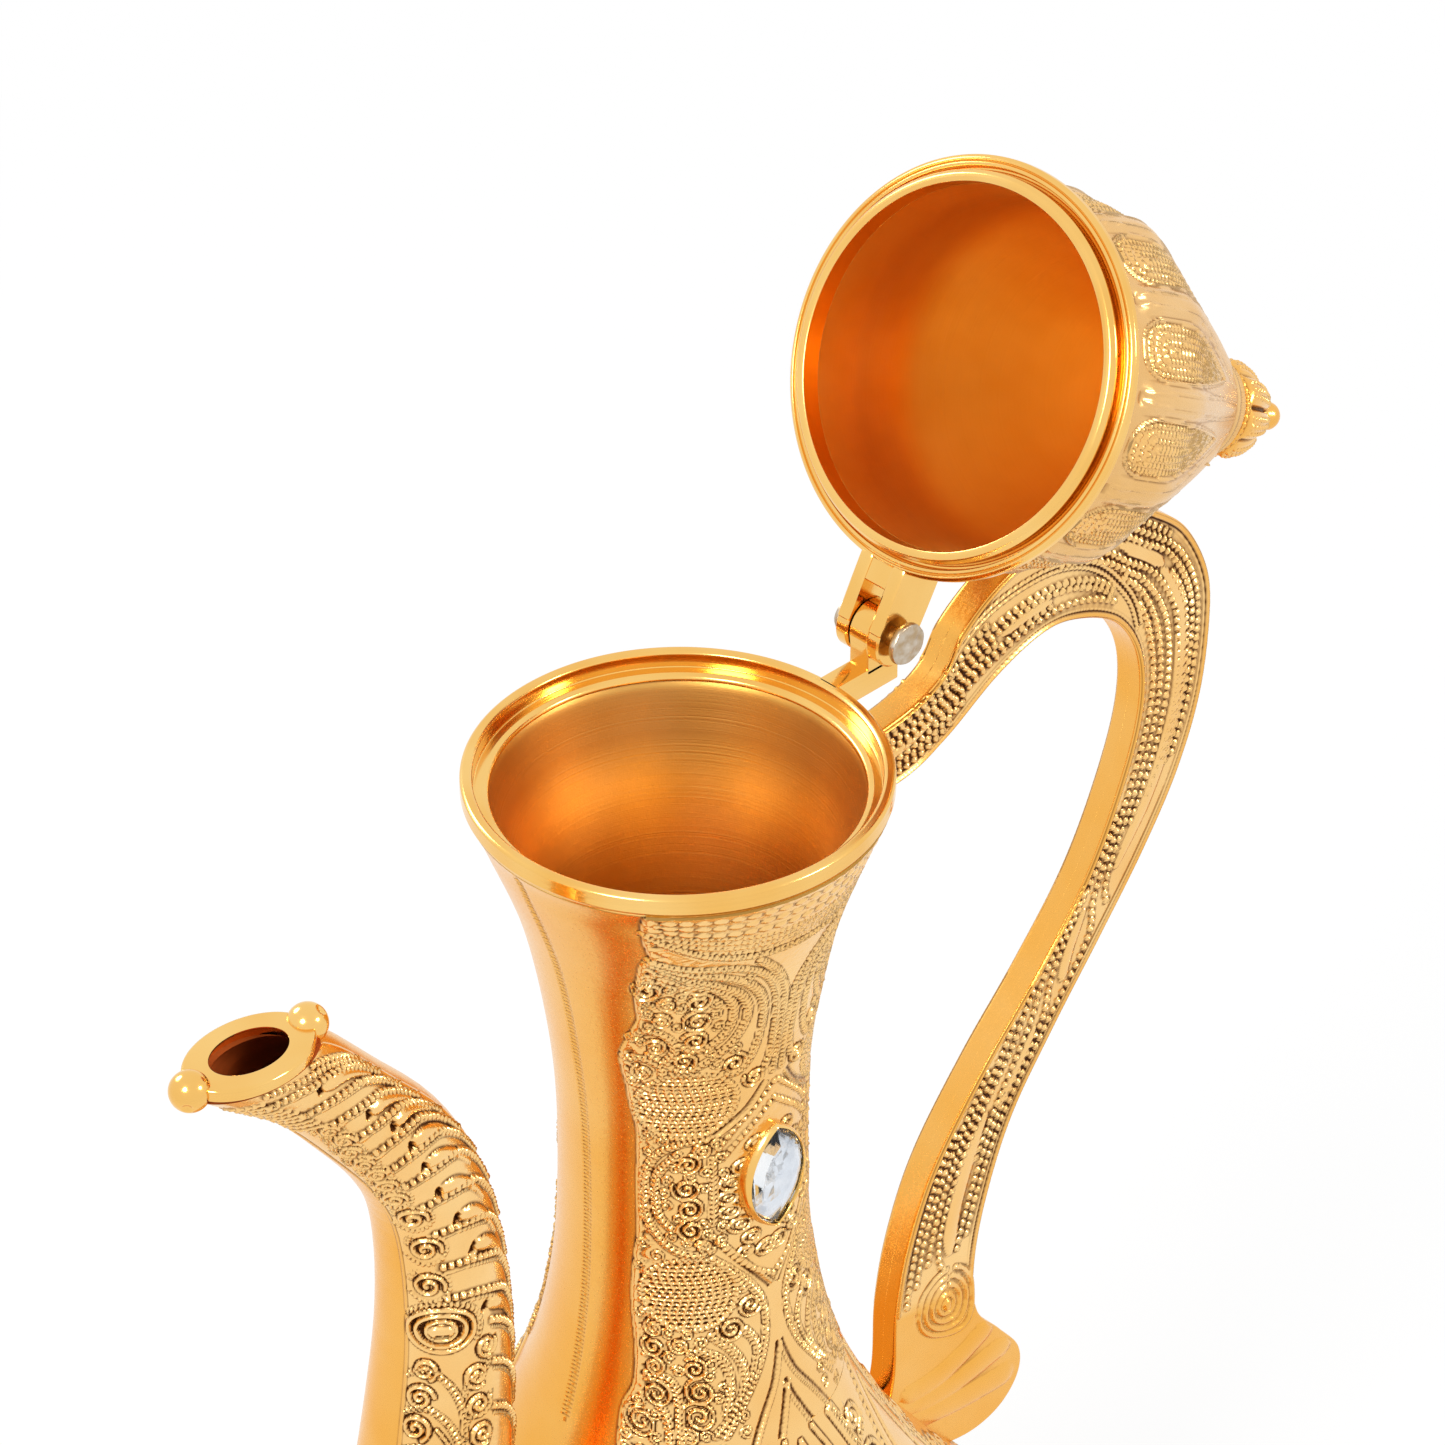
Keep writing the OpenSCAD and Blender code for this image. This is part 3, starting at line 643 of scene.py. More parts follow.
def drawNeck(sheet, farSide):
    drawing = neckDrawing
    grain = np.random.default_rng(11)
    stroke, one = pen(sheet, neckPlace, (1, -1)), pen(sheet, neckPlace)
    depth = sheet["rows"][:, None]
    x = np.radians(sheet["cols"][None, :] + 90) * bodyRadius(depth)
    border = np.array(drawing["border"])
    edge = np.interp(depth, border[:, 1], -border[:, 0])
    if farSide:                                 # the plain strip reaches further round on this side
        reach = math.radians(drawing["farSide"])
        edge = np.where(x < 0, reach * bodyRadius(depth) + 0.5 * np.sin(depth * 0.5), edge)
        line = np.arange(potShape["seam"], potShape["joint"], 1.0)
        rope(one, np.stack([0.6 - reach * bodyRadius(line) - 0.5 * np.sin(line * 0.5), line], 1))
        for d in np.arange(4.5, 104, 0.66):     # filed seam of the two castings
            front = -math.radians(drawing["seamAt"]) * bodyRadius(d)
            one([(front - 0.5, d), (front + 0.6, d + 0.1)], 0.4, 0.36, 0.22, 0.2, dent=True)
        seam = np.stack([-math.radians(drawing["seamAt"] + 0.6) * bodyRadius(line), line], 1)
        one(seam, 0.2, 0.25, 0.25, 0.16, dent=True)
    else:
        stroke(bend(drawing["border"]) + [0.5, 0], 0.3, 0.45, 0.45, 0.22)
    t = ease(edge - np.abs(x), 0.9)
    sheet["worked"] = t * t * (3 - 2 * t)
    skin = blurred(grain.normal(0, 1, t.shape), 1)
    lumps = blurred(grain.normal(0, 1, t.shape), 4)
    nearEdge = np.clip(1 - np.abs(edge - np.abs(x) - 1.6) / 2.2, 0, 1)
    panel = drawing["raise"] * sheet["worked"] + sheet["worked"] * drawing["grain"] * skin / skin.std()
    panel = panel + nearEdge * sheet["worked"] * drawing["lumps"] * lumps / lumps.std()
    seatAt, seatLong, seatWide = drawing["seat"]
    seat = np.clip(3 * (1 - ((depth - seatAt) / seatLong)**2 - np.abs(x) / seatWide), 0, 1)
    panel = panel * (1 - seat) - drawing["seatDepth"] * seat
    strip = np.abs(x) > math.radians(80) * bodyRadius(depth)
    sheet["cut"] = np.maximum(ease(edge + 0.7 - np.abs(x), 0.5), strip)
    sheet["cut"] = sheet["cut"] * np.interp(x, [4, 13], [1, 0.5])      # fainter towards the handle
    # the swag under the rim: three rows of bricks, then rows of dots
    for k in range(3):
        line = [(-26 + 0.5 * k, 4.4 + 0.9 * k), (-18, 4.6 + 1.5 * k), (-8, 4.7 + 1.9 * k), (0, 4.8 + 2 * k)]
        stroke(bend(line), 2.3, 1.0, 0.62, 0.3)
    for k in range(4):
        line = [(-24.5 + 0.4 * k, 7.4 + 0.8 * k), (-16, 8.6 + 1.1 * k), (-8, 10.2 + 1.05 * k),
                (0, 10.6 + 1.1 * k)]
        beads(stroke, bend(line), 0.62, 0.95, 0.34)
    # knit rows of the second crescent
    for k in range(3):
        beads(stroke, bend([(-22, 16.6 + 0.8 * k), (-18, 18 + k), (-14, 19.6 + 1.2 * k)]), 0.6, 0.9, 0.3)
    for line in drawing["ropes"]:
        rope(stroke, bend(line))
    for line in drawing["beads"]:
        beads(stroke, bend(line))
    for line in drawing["grooves"]:
        stroke(bend(line), 0.25, 0.36, 0.36, 0.26, dent=True)
        wire(stroke, shifted(bend(line), 0.75), 0.5, 0.26)
    for k, (cx, cy, r) in enumerate(drawing["spirals"]):
        wire(stroke, spiral(r * 1.12, 1.9, 200 + 40 * (k % 3), 1 if k % 2 else -1) + [cx, cy], 0.5, 0.46)
    for cx, cy, r in drawing["curls"]:
        wire(stroke, ring(r * 1.15, r * 0.82, -30, 310) + [cx, cy], 0.5, 0.44)
        wire(stroke, ring(r * 0.5, r * 0.36, 0, 300) + [cx + 0.2, cy], 0.4, 0.36)
    for disc in drawing["discs"]:
        hatchDisc(stroke, *disc)
    carve(sheet, panel)
    fillGaps(sheet, stroke, panel, drawing["fill"])


def fillGaps(sheet, stroke, panel, look):
    # small curls wherever the relief still leaves bare ground
    busy = blurred(np.minimum(np.abs(sheet["h"] - panel), 0.2), 6)
    jitter = np.random.default_rng(5)
    done = []
    for y in np.arange(*look["down"], look["gap"]):
        for x in np.arange(*look["across"], look["gap"]):
            cx, cy = np.array([x, y]) + jitter.uniform(-look["shake"], look["shake"], 2)
            col, row = neckPlace(np.array([cx]), np.array([cy]))
            i, j = [int(v[0]) for v in onSheet(sheet, col, row)[:2]]
            crowded = any((cx - a)**2 + (cy - b)**2 < look["apart"] for a, b in done[-40:])
            if busy[i, j] > look["busy"] or crowded or sheet["worked"][i, j] < 0.9:
                continue
            done.append((cx, cy))
            curl = spiral(0.95, 1.4, jitter.uniform(0, 360), 1 if len(done) % 2 else -1)
            wire(stroke, curl + [cx, cy], 0.4, 0.36)
    carve(sheet, sheet["h"])
    print("curls added in the gaps:", len(done))


def neckHalf(mirror):
    sheet = bodySheet(potShape["seam"], potShape["joint"], neckShape, "farField" if mirror else "field")
    drawNeck(sheet, mirror)
    return sheet, insideOf(sheet)


print("neck")
castHalves("neckShell_", "neck_half_", neckHalf, [reliefGold, insideGold], 2, (6, 6))


bellyShape = {"rowGap": 0.36, "colGap": 0.17, "field": (-179, -1)}
bellyDrawing = {
    # degrees from the middle of the half, millimetres down the surface from the joint
    "petal": [(0, -16), (9, -6), (17, 2), (22, 10), (24.5, 20), (23, 32), (17, 42), (8, 49), (0, 52)],
    "sidePetal": [(0, -4), (5, 4), (9, 12), (12, 22), (12.5, 32), (9, 42), (4, 48), (0, 50)],
    "sideMiddle": 49, "band": (62, 84), "discs": 30, "disc": 7.4, "lower": (88, 124), "flutes": 15,
    "scrolls": [(28, 6, 2.4), (29.5, 14, 3.0), (30.5, 24, 3.2), (31, 35, 3.2), (29, 46, 3.2), (24, 54, 3.0),
                (34, 54, 3.0), (64, 14, 2.8), (66, 24, 3.0), (67, 35, 3.2), (66, 46, 3.2), (62, 54, 3.0),
                (73, 40, 2.6), (45, 55, 2.6), (74, 51, 3.0), (12, 55.5, 2.6), (2.6, 56, 1.9)],
}


def nestedOutlines(outline, nests, top, long, less):
    # smaller copies of a petal inside each other, each a little lower than the last
    for scale, drop in nests:
        line = bend(outline) * [scale, 1]
        line[:, 1] = drop + (line[:, 1] + top) * (long - less * drop) / long - top
        yield scale == 1, line[line[:, 1] > 0.4]


def drawBelly(sheet, farSide):
    drawing = bellyDrawing
    depth = sheet["rows"]
    far = alongCurve(np.stack([bodyRadius(depth), depth], 1))

    def place(a, s):
        return a - 90, np.interp(s, far, depth)

    def local(points, a, s):
        # a small figure in millimetres, set down at one place
        return np.asarray(points) * [np.degrees(1 / bodyRadius(np.interp(s, far, depth))), 1] + [a, s]

    stroke, one = pen(sheet, place, (1, -1)), pen(sheet, place)
    cols, s = sheet["cols"][None, :], far[:, None]
    turn = np.abs(cols + 90)
    edge = np.interp(s, [0, 12, 30, 56, 60], [69, 72, 78, 80, 92])
    if farSide:
        edge = np.where(cols < -90, np.interp(s, [0, 20, 40, 58, 60], [34, 46, 66, 80, 92]), edge)
    sheet["worked"] = ease(edge - turn, 1.2)
    sheet["cut"] = ease(edge + 1 - turn, 0.8) * np.interp(cols, [-80, -50], [1, 0.55])
    (low, high), (top, end), flute, disc = [drawing[k] for k in ("band", "lower", "flutes", "disc")]
    fluted = ease(s - top, 2) * ease(end - 4 - s, 3)
    lobe = np.abs(np.cos(np.radians(cols) * 180 / flute))
    panel = 0.32 * sheet["worked"] + 0.9 * fluted * (np.sqrt(lobe) - 0.8)
    for first, outline in nestedOutlines(drawing["petal"], ((1, 0), (0.66, 9), (0.34, 18)), 16, 68, 2.2):
        wire(stroke, outline, 0.9, 0.4)
        if first:
            rope(stroke, outline + [2.2, 0], 1.9, 0.46)
    middle = drawing["sideMiddle"]
    for first, outline in nestedOutlines(drawing["sidePetal"], ((1, 0), (0.6, 10)), 4, 54, 1.9):
        for hand in (1, -1):
            wire(stroke, outline * [hand, 1] + [middle, 0], 0.8, 0.4)
            if first:
                beads(stroke, outline * [hand, 1] + [middle + 1.9 * hand, 0], 1.2, 1.3, 0.5)
    for a, s, r in drawing["scrolls"]:
        wire(stroke, local(spiral(r, 1.8, 40 + 50 * (a % 3), 1 if a % 2 else -1), a, s), 0.85, 0.5)
        beads(stroke, local(ring(r + 1, r + 1, 30, 250), a, s), 0.8, 1.0, 0.36)
    girdle = bend([(-90, 0), (-45, 0), (0, 0), (45, 0), (90, 0)])
    for s in (low - 2.2, high + 2.2, end):
        rope(one, girdle + [0, s], 2.2, 0.5)
    for s in (low - 0.4, high + 0.4):
        wire(one, girdle + [0, s], 0.8, 0.4)
    middle = (low + high) / 2
    for a in np.arange(-75, 90, drawing["discs"]):
        rope(one, local(ring(disc, disc), a, middle), 1.6, 0.4)
        for k, y in enumerate(np.arange(1.4 - disc, disc - 0.9, 1.15)):
            half = math.sqrt(max(0, disc**2 - y * y)) - 1.4
            if half > 1:
                dash = local([(-half + 0.8 * (k % 2), y), (half, y)], a, middle)
                one(dash, 1.7, 0.6, 0.38, 0.6, lean=8 * (-1)**k, dent=True)
        between = a + drawing["discs"] / 2
        for up in (-1, 1):
            for hand in (-1, 1):
                curl = spiral(3.6, 1.9, 90, hand * up)
                wire(one, local(curl, between + hand * 4, middle + up * 5.2), 0.9, 0.5)
            beads(one, local(ring(1.6, 1.6), between, middle + up * 9), 0.8, 1.0, 0.4)
    # gadroons down to the foot
    for a in np.arange(-90, 91, flute) + flute / 2:
        beads(one, [(a, top + 3), (a, (top + end) / 2), (a, end - 6)], 1.2, 1.4, 0.45)
        arch = [(a + flute * share, top + down)
                for share, down in ((-0.5, 6), (-0.3, 2.4), (0, 1.2), (0.3, 2.4), (0.5, 6))]
        wire(one, bend(arch), 0.9, 0.45)
    carve(sheet, panel)


def bellyHalf(mirror):
    sheet = bodySheet(potShape["joint"], potShape["bottom"], bellyShape)
    drawBelly(sheet, mirror)
    return sheet, insideOf(sheet)


print("belly")
castHalves("bellyShell_", "belly_half_", bellyHalf, [reliefGold, insideGold], 3, (6, 6))


spoutShape = {"wall": 2.4, "rowGap": 0.26, "colGap": 0.26, "under": 1.2, "underInside": 1.3,
              "edge": (163, 116),
              # x, height from the rim, radius, down the middle line
              "line": [(-78.3, -7.5, 6.5), (-70.4, -14, 6.9), (-61.9, -24, 7.3), (-54.2, -34, 7.9),
                       (-49.4, -44, 8.2), (-47.2, -56, 8.7), (-46.8, -70, 9.4), (-48.1, -85, 10.3),
                       (-49.8, -100, 11.4), (-50.8, -115, 12.8), (-50.4, -130, 14.2), (-48.5, -146, 15.2),
                       (-44, -160, 15.6), (-37, -172, 15.6)]}
spoutLine = bend(spoutShape["line"], 4)


def spoutRings(inset, angles, step):
    # the tube is cut level at the lip and square to its middle line further down
    middle = spoutLine[:, :2]
    heading = unit(np.gradient(middle, axis=0))
    level = np.maximum(0, 1 - np.arange(len(middle)) / 9)[:, None]
    across = unit((1 - level) * np.stack([-heading[:, 1], heading[:, 0]], 1) + level * [1, 0])
    square = np.abs(across[:, 0] * -heading[:, 1] + across[:, 1] * heading[:, 0])
    rows = np.column_stack([middle, across, spoutLine[:, 2], 1 / np.maximum(0.5, square)])
    far = alongCurve(middle)
    want = np.linspace(0, far[-1], int(far[-1] / step) + 1)
    x, z, acrossX, acrossZ, r, stretch = [column[:, None] for column in pick(rows, far, want).T]
    r = r - inset
    a = np.radians(angles)[None, :]
    wide = r * stretch * np.cos(a)
    return want, np.stack([x + acrossX * wide, -r * np.sin(a) + 0 * wide, rimTop + z + acrossZ * wide], -1)


spoutDrawing = {
    "seams": [3.5, 9.5, 14.5, 20, 25, 30, 35.5, 42, 49, 56, 62, 68.5, 75.5, 83, 91, 99, 107],
    "sweep": [(105, 0.3), (90, 1), (74, 2.2), (60, 4), (46, 8.5), (37, 14)],
    # round the tube (degrees from the side next to the pot), along the tube (mm from the lip)
    "drops": [(88, 7), (87, 18.5), (83, 24.4), (90, 30), (98, 35), (104, 41.2), (100, 48.2), (93, 55),
              (90, 66)],
    "curls": [(126, 16, 1.4), (126, 19.4, 1.4), (134, 22.6, 1.6), (136, 26.4, 1.6), (137, 30.2, 1.7),
              (140, 34, 1.8), (144, 38.4, 2), (140, 44.6, 2.5), (137.5, 52.2, 2.5), (140, 59.6, 2.4)],
    "rosette": (132, 68, 4.9),
    "spirals": [(146, 75.4, 1.9), (149, 80.4, 2.2), (151, 85.6, 2.2), (92, 72.6, 1.9), (102, 77, 2.1),
                (100, 82, 2.1), (96, 87, 2.0), (152, 91.6, 2.3), (101, 93, 2.2), (96, 98.6, 2.3),
                (153, 98, 2.4), (104, 104.6, 2.4), (152, 105, 2.5), (97, 111, 2.4), (151, 112, 2.5)],
}


def drawSpout(sheet, edge):
    # edge: how far round the ornament reaches towards the front, in degrees
    drawing = spoutDrawing
    stroke = pen(sheet, lambda t, s: (t, s))
    across, along = sheet["cols"][None, :], sheet["rows"][:, None]
    back = np.interp(along, [0, 30, 60, 200], [30, 27, 20, 20])
    sheet["worked"] = ease(edge - across, 3) * ease(across - back, 3)
    sheet["cut"] = ease(edge + 2 - across, 2) + 0 * along
    wire(stroke, bend([(edge, 2), (edge, 60), (edge, 120), (edge, 170)]), 0.5, 0.3)

    def seam(points, s):
        return bend(np.array(points) + [0, s])

    def onTube(figure, t, s, girth):
        # a figure in millimetres, set down where the tube has this radius
        return figure * [180 / (math.pi * girth), 1] + [t, s]

    for s in (-2.4, 0.6):
        line = seam([(128, 0.1)] + drawing["sweep"], s)
        beads(stroke, line[line[:, 1] > 0.8], 1.0, 1.0, 0.6)
    for k, s in enumerate(drawing["seams"]):
        low = [(84, 0.4), (72, 1.6), (58, 4), (44, 8), (34, 13)]
        line = seam(low if s > 66 else [(124, 0.2)] + drawing["sweep"], s)
        beads(stroke, line, 1.12, 1.08, 0.68)
        wire(stroke, line + [0, 1.25], 0.42, 0.2)
        # the long low tongue between two seams, with a pit at its head
        if k < len(drawing["drops"]):
            t, d = drawing["drops"][k]
            tongue = seam([(t - 7, -0.1), (t - 20, 1.2), (t - 32, 3.8), (t - 42, 8)], d)
            wide = np.interp(np.arange(len(tongue)), [0, 4, len(tongue) - 1], [0.9, 1.15, 0.35])
            taper(stroke, tongue, wide, lambda w: 0.6 * w)
            stroke([(t + 1.5, d + 0.35), (t - 1.5, d - 0.35)], 0.3, 0.62, 0.55, 0.75, dent=True)
    for s in np.arange(2.4, 15, 1.15):
        for t in np.arange(122, 160, 7.5):
            beads(stroke, [(t + 2 * (s % 2), s), (t + 4 + 2 * (s % 2), s + 0.1)], 0.8, 1.0, 0.4)
    for t, s, r in drawing["curls"]:
        wire(stroke, onTube(spiral(r, 1.7, 160), t, s, 9), 0.62, 0.5)
        beads(stroke, onTube(ring(r + 0.7, r + 0.6, 20, 250), t, s, 9), 0.6, 0.72, 0.36)
        hook = bend([(1.6, -r - 0.4), (2.3, -r + 0.2), (2.6, -r + 1.4)])
        rope(stroke, onTube(hook, t, s, 9), 0.7, 0.3)
    t, s, r = drawing["rosette"]
    for far, wide, high in ((1, 0.8, 0.6), (0.74, 0.8, 0.62), (0.45, 0.62, 0.6)):
        wire(stroke, onTube(ring(r * far, r * far * 0.78), t, s, 9.6), wide, high)
    stroke([(t - 4, s), (t + 4, s)], 0.4, 1.5, 1.2, 0.95)
    for spot in (-5, 1):
        stroke([(t + spot, s + 0.6), (t + spot + 2, s + 0.6)], 0.3, 0.36, 0.3, 0.5, dent=True)
    rope(stroke, onTube(ring(r + 1.1, (r + 1.1) * 0.8, 150, 330), t, s, 9.6), 0.9, 0.36)
    girth = bend(spoutShape["line"])[:, 2].mean()
    for k, (t, s, r) in enumerate(drawing["spirals"]):
        wire(stroke, onTube(spiral(r, 1.8, 120 + 70 * (k % 2), 1 if t > 125 else -1), t, s, girth), 0.7, 0.55)
    for k, s in enumerate(np.arange(76.2, 150, 6.6)):
        rope(stroke, seam([(161, 0.5), (150, -0.6), (138, -0.4), (124, 2), (114, 6), (111, 11)], s), 1.0, 0.4)
        rope(stroke, seam([(88, -2), (94, 0.6), (108, 1.2), (113, 4)], s), 0.85, 0.36)
        if k % 2:
            wire(stroke, seam([(134, 2.6), (124, 5.4), (119, 9.5)], s), 0.55, 0.4)
    for s in np.arange(120, 186, 7):
        for t in (96, 110, 150):
            wire(stroke, spiral(2.5, 1.8, 90) * [3.9, 1] + [t, s + (t % 4)], 0.7, 0.5)
        beads(stroke, seam([(84, 0), (60, 4), (36, 11)], s), 1.0, 1.0, 0.6)
    carve(sheet, 0.2 * sheet["worked"])


def spoutHalf(mirror):
    shape = spoutShape
    angles = np.linspace(0, 180, int(math.pi * 11 / shape["colGap"]))
    rows, points = spoutRings(0, angles, shape["rowGap"])
    sheet = makeSheet(rows, angles, points)
    drawSpout(sheet, shape["edge"][mirror])
    sheet["p"] = keptOut(sheet["p"], shape["under"])
    far = np.hypot(sheet["p"][:, :, 0], sheet["p"][:, :, 1])
    sheet["cut"] = sheet["cut"] * (far > bodyRadius(rimTop - sheet["p"][:, :, 2]) - 0.3)
    return sheet, keptOut(spoutRings(shape["wall"], angles, shape["rowGap"])[1], shape["underInside"])


print("spout")
castHalves("spoutShell_", "spout_half_", spoutHalf, [reliefGold, spoutLining], 2, (8, 8))


lipShape = {"x": -78.7, "top": 5.5, "thick": 2, "oval": (10.2, 6.9), "hole": (6.1, 4.1), "knob": 2.9,
            # growth of the oval or the hole, height from the top
            "outside": [(-0.3, -2), (0, -1.7), (0, -1.6), (0, -0.5), (0, -0.4), (-0.1, -0.15), (-0.35, 0),
                        (-0.45, 0)],
            "inside": [(0.3, 0), (0.2, 0), (0.04, -0.06), (0, -0.2), (0.5, -0.5), (0.9, -2)]}


def lipPlate(name):
    # the flat ring that closes the spout's end, with a drilled mouth
    shape = lipShape
    rings = []
    for size, edge in ((shape["oval"], shape["outside"]), (shape["hole"], shape["inside"])):
        for grow, z in edge:
            oval = circle(144) * np.add(size, grow) + [shape["x"], 0]
            rings.append(np.column_stack([oval, np.full(144, rimTop - shape["top"] + z)]))
    return loftPiece(name, rings, wheelGold, "pot", 50)


def lipKnob(name, side, mark):
    # a small ball at each end of the ring, with a centre punch mark
    shape = lipShape
    reach = shape["oval"][0] + 0.1
    centre = np.array([shape["x"] + side * reach, 0, rimTop - shape["top"] - shape["thick"] / 2])
    lift = np.linspace(-1.5, 1.5, 48)
    way = lathe(np.stack([np.cos(lift), np.sin(lift)], 1), np.linspace(0, 360, 96, endpoint=False))
    close = np.degrees(np.arccos(np.clip(way @ unit(np.array(mark)), -1, 1)))
    r = shape["knob"] - 0.5 * np.clip(1 - (close / 17)**2, 0, 1)
    return loftPiece(name, list(centre + way * r[..., None]), wheelGold, "pot", 60, False)


goldPlated([lipPlate("spoutLip"), lipKnob("lipKnobFront", -1, (-0.72, -0.62, -0.3)),
            lipKnob("lipKnobBack", 1, (0.52, -0.42, 0.74))], "spout_lip")


handleShape = {"rowGap": 0.25, "round": 0.45, "under": 1.2,
               # x and height from the rim; the outer edge from the neck over the crown to the curl,
               # and the inner edge back from the belly to the neck
               "back": [(20, -11.5), (39, -11.2), (49.3, -8.3), (54, -2.4), (61, 2.2), (70, 4.8), (79, 5.4),
                        (87, 4.2), (94, -0.4), (101, -6.6), (106, -16), (107, -25), (105.5, -38),
                        (101, -50), (94, -61), (85, -72.4), (75.3, -84.2), (66.5, -96.4), (61, -110.5),
                        (59, -122), (60, -131), (65, -137.5), (69.4, -143.6), (69.4, -149), (65.5, -153.2),
                        (59, -154.6), (50, -153)],
               "front": [(38, -146), (41.4, -134), (42, -121), (44.6, -109), (50, -97), (60, -84.4),
                         (71, -73), (81, -61), (87.8, -48), (91.8, -35.5), (91.4, -25), (86.5, -16.6),
                         (78, -11.8), (70.4, -10.7), (61, -13.5), (50.5, -19.2), (41, -22.1), (20, -22.5)],
               # which place on the inner edge lies across from each point of the outer edge
               "partner": [17, 16, 15, 14.6, 14, 13, 12.3, 11.7, 11.3, 10.8, 10.3, 9.9, 9, 8, 7, 6, 5, 4, 3,
                           2, 1.5, 1.3, 1.15, 1.0, 0.85, 0.7, 0.6]}


def handleEdges():
    # the two edges, as far as they lie outside the pot, with points that face each other
    steps = 12
    back, front = bend(handleShape["back"], steps), bend(handleShape["front"], steps)
    place = bend(list(enumerate(handleShape["partner"])), steps)[:, 1] * steps
    other = pick(front, np.arange(len(front)), place)
    keep = False
    for edge in (back, other):
        keep = keep | (edge[:, 0] > bodyRadius(-edge[:, 1]) - handleShape["under"])
    return back[keep], other[keep]


def handleSheet():
    back, front = handleEdges()
    far = alongCurve((back + front) / 2)
    want = np.linspace(0, far[-1], int(far[-1] / handleShape["rowGap"]))
    back, front = pick(back, far, want), pick(front, far, want)
    half, r = handleWide / 2, handleShape["round"]
    strip = np.linspace(0, 1, 8)[:-1]
    corner = np.radians(np.linspace(0, 90, 5))
    face = np.linspace(0, 1, 54)[1:-1]
    # from the middle of the outer edge, round a corner, over the face and down the inner edge:
    # share across, distance in from the edge (mm), distance out from the middle
    n = len(strip) + len(corner)
    share = np.concatenate([np.zeros(n), face, np.ones(n)])
    sign = np.concatenate([np.ones(n), 0 * face, -np.ones(n)])
    turn = r * (1 - np.cos(corner))
    inset = np.concatenate([0 * strip, turn, 0 * face, turn[::-1], 0 * strip])
    out = np.concatenate([0.02 + strip * (half - r), half - r + r * np.sin(corner), 0 * face + half,
                          half - r + r * np.sin(corner[::-1]), 0.02 + strip[::-1] * (half - r)])
    wide = np.linalg.norm(front - back, axis=1)[:, None]
    inner = r / wide
    u = np.where(sign == 0, inner + share * (1 - 2 * inner), share + sign * inset / wide)
    xz = back[:, None] * (1 - u[..., None]) + front[:, None] * u[..., None]
    points = np.stack([xz[..., 0], np.repeat(-out[None], len(want), 0), rimTop + xz[..., 1]], -1)
    cols = np.concatenate([strip - 1, np.linspace(-0.001, 0.02, len(corner)), face * 0.94 + 0.03,
                           np.linspace(0.98, 1.001, len(corner)), 1.01 + strip])
    return makeSheet(want, cols, keptOut(points, handleShape["under"]))


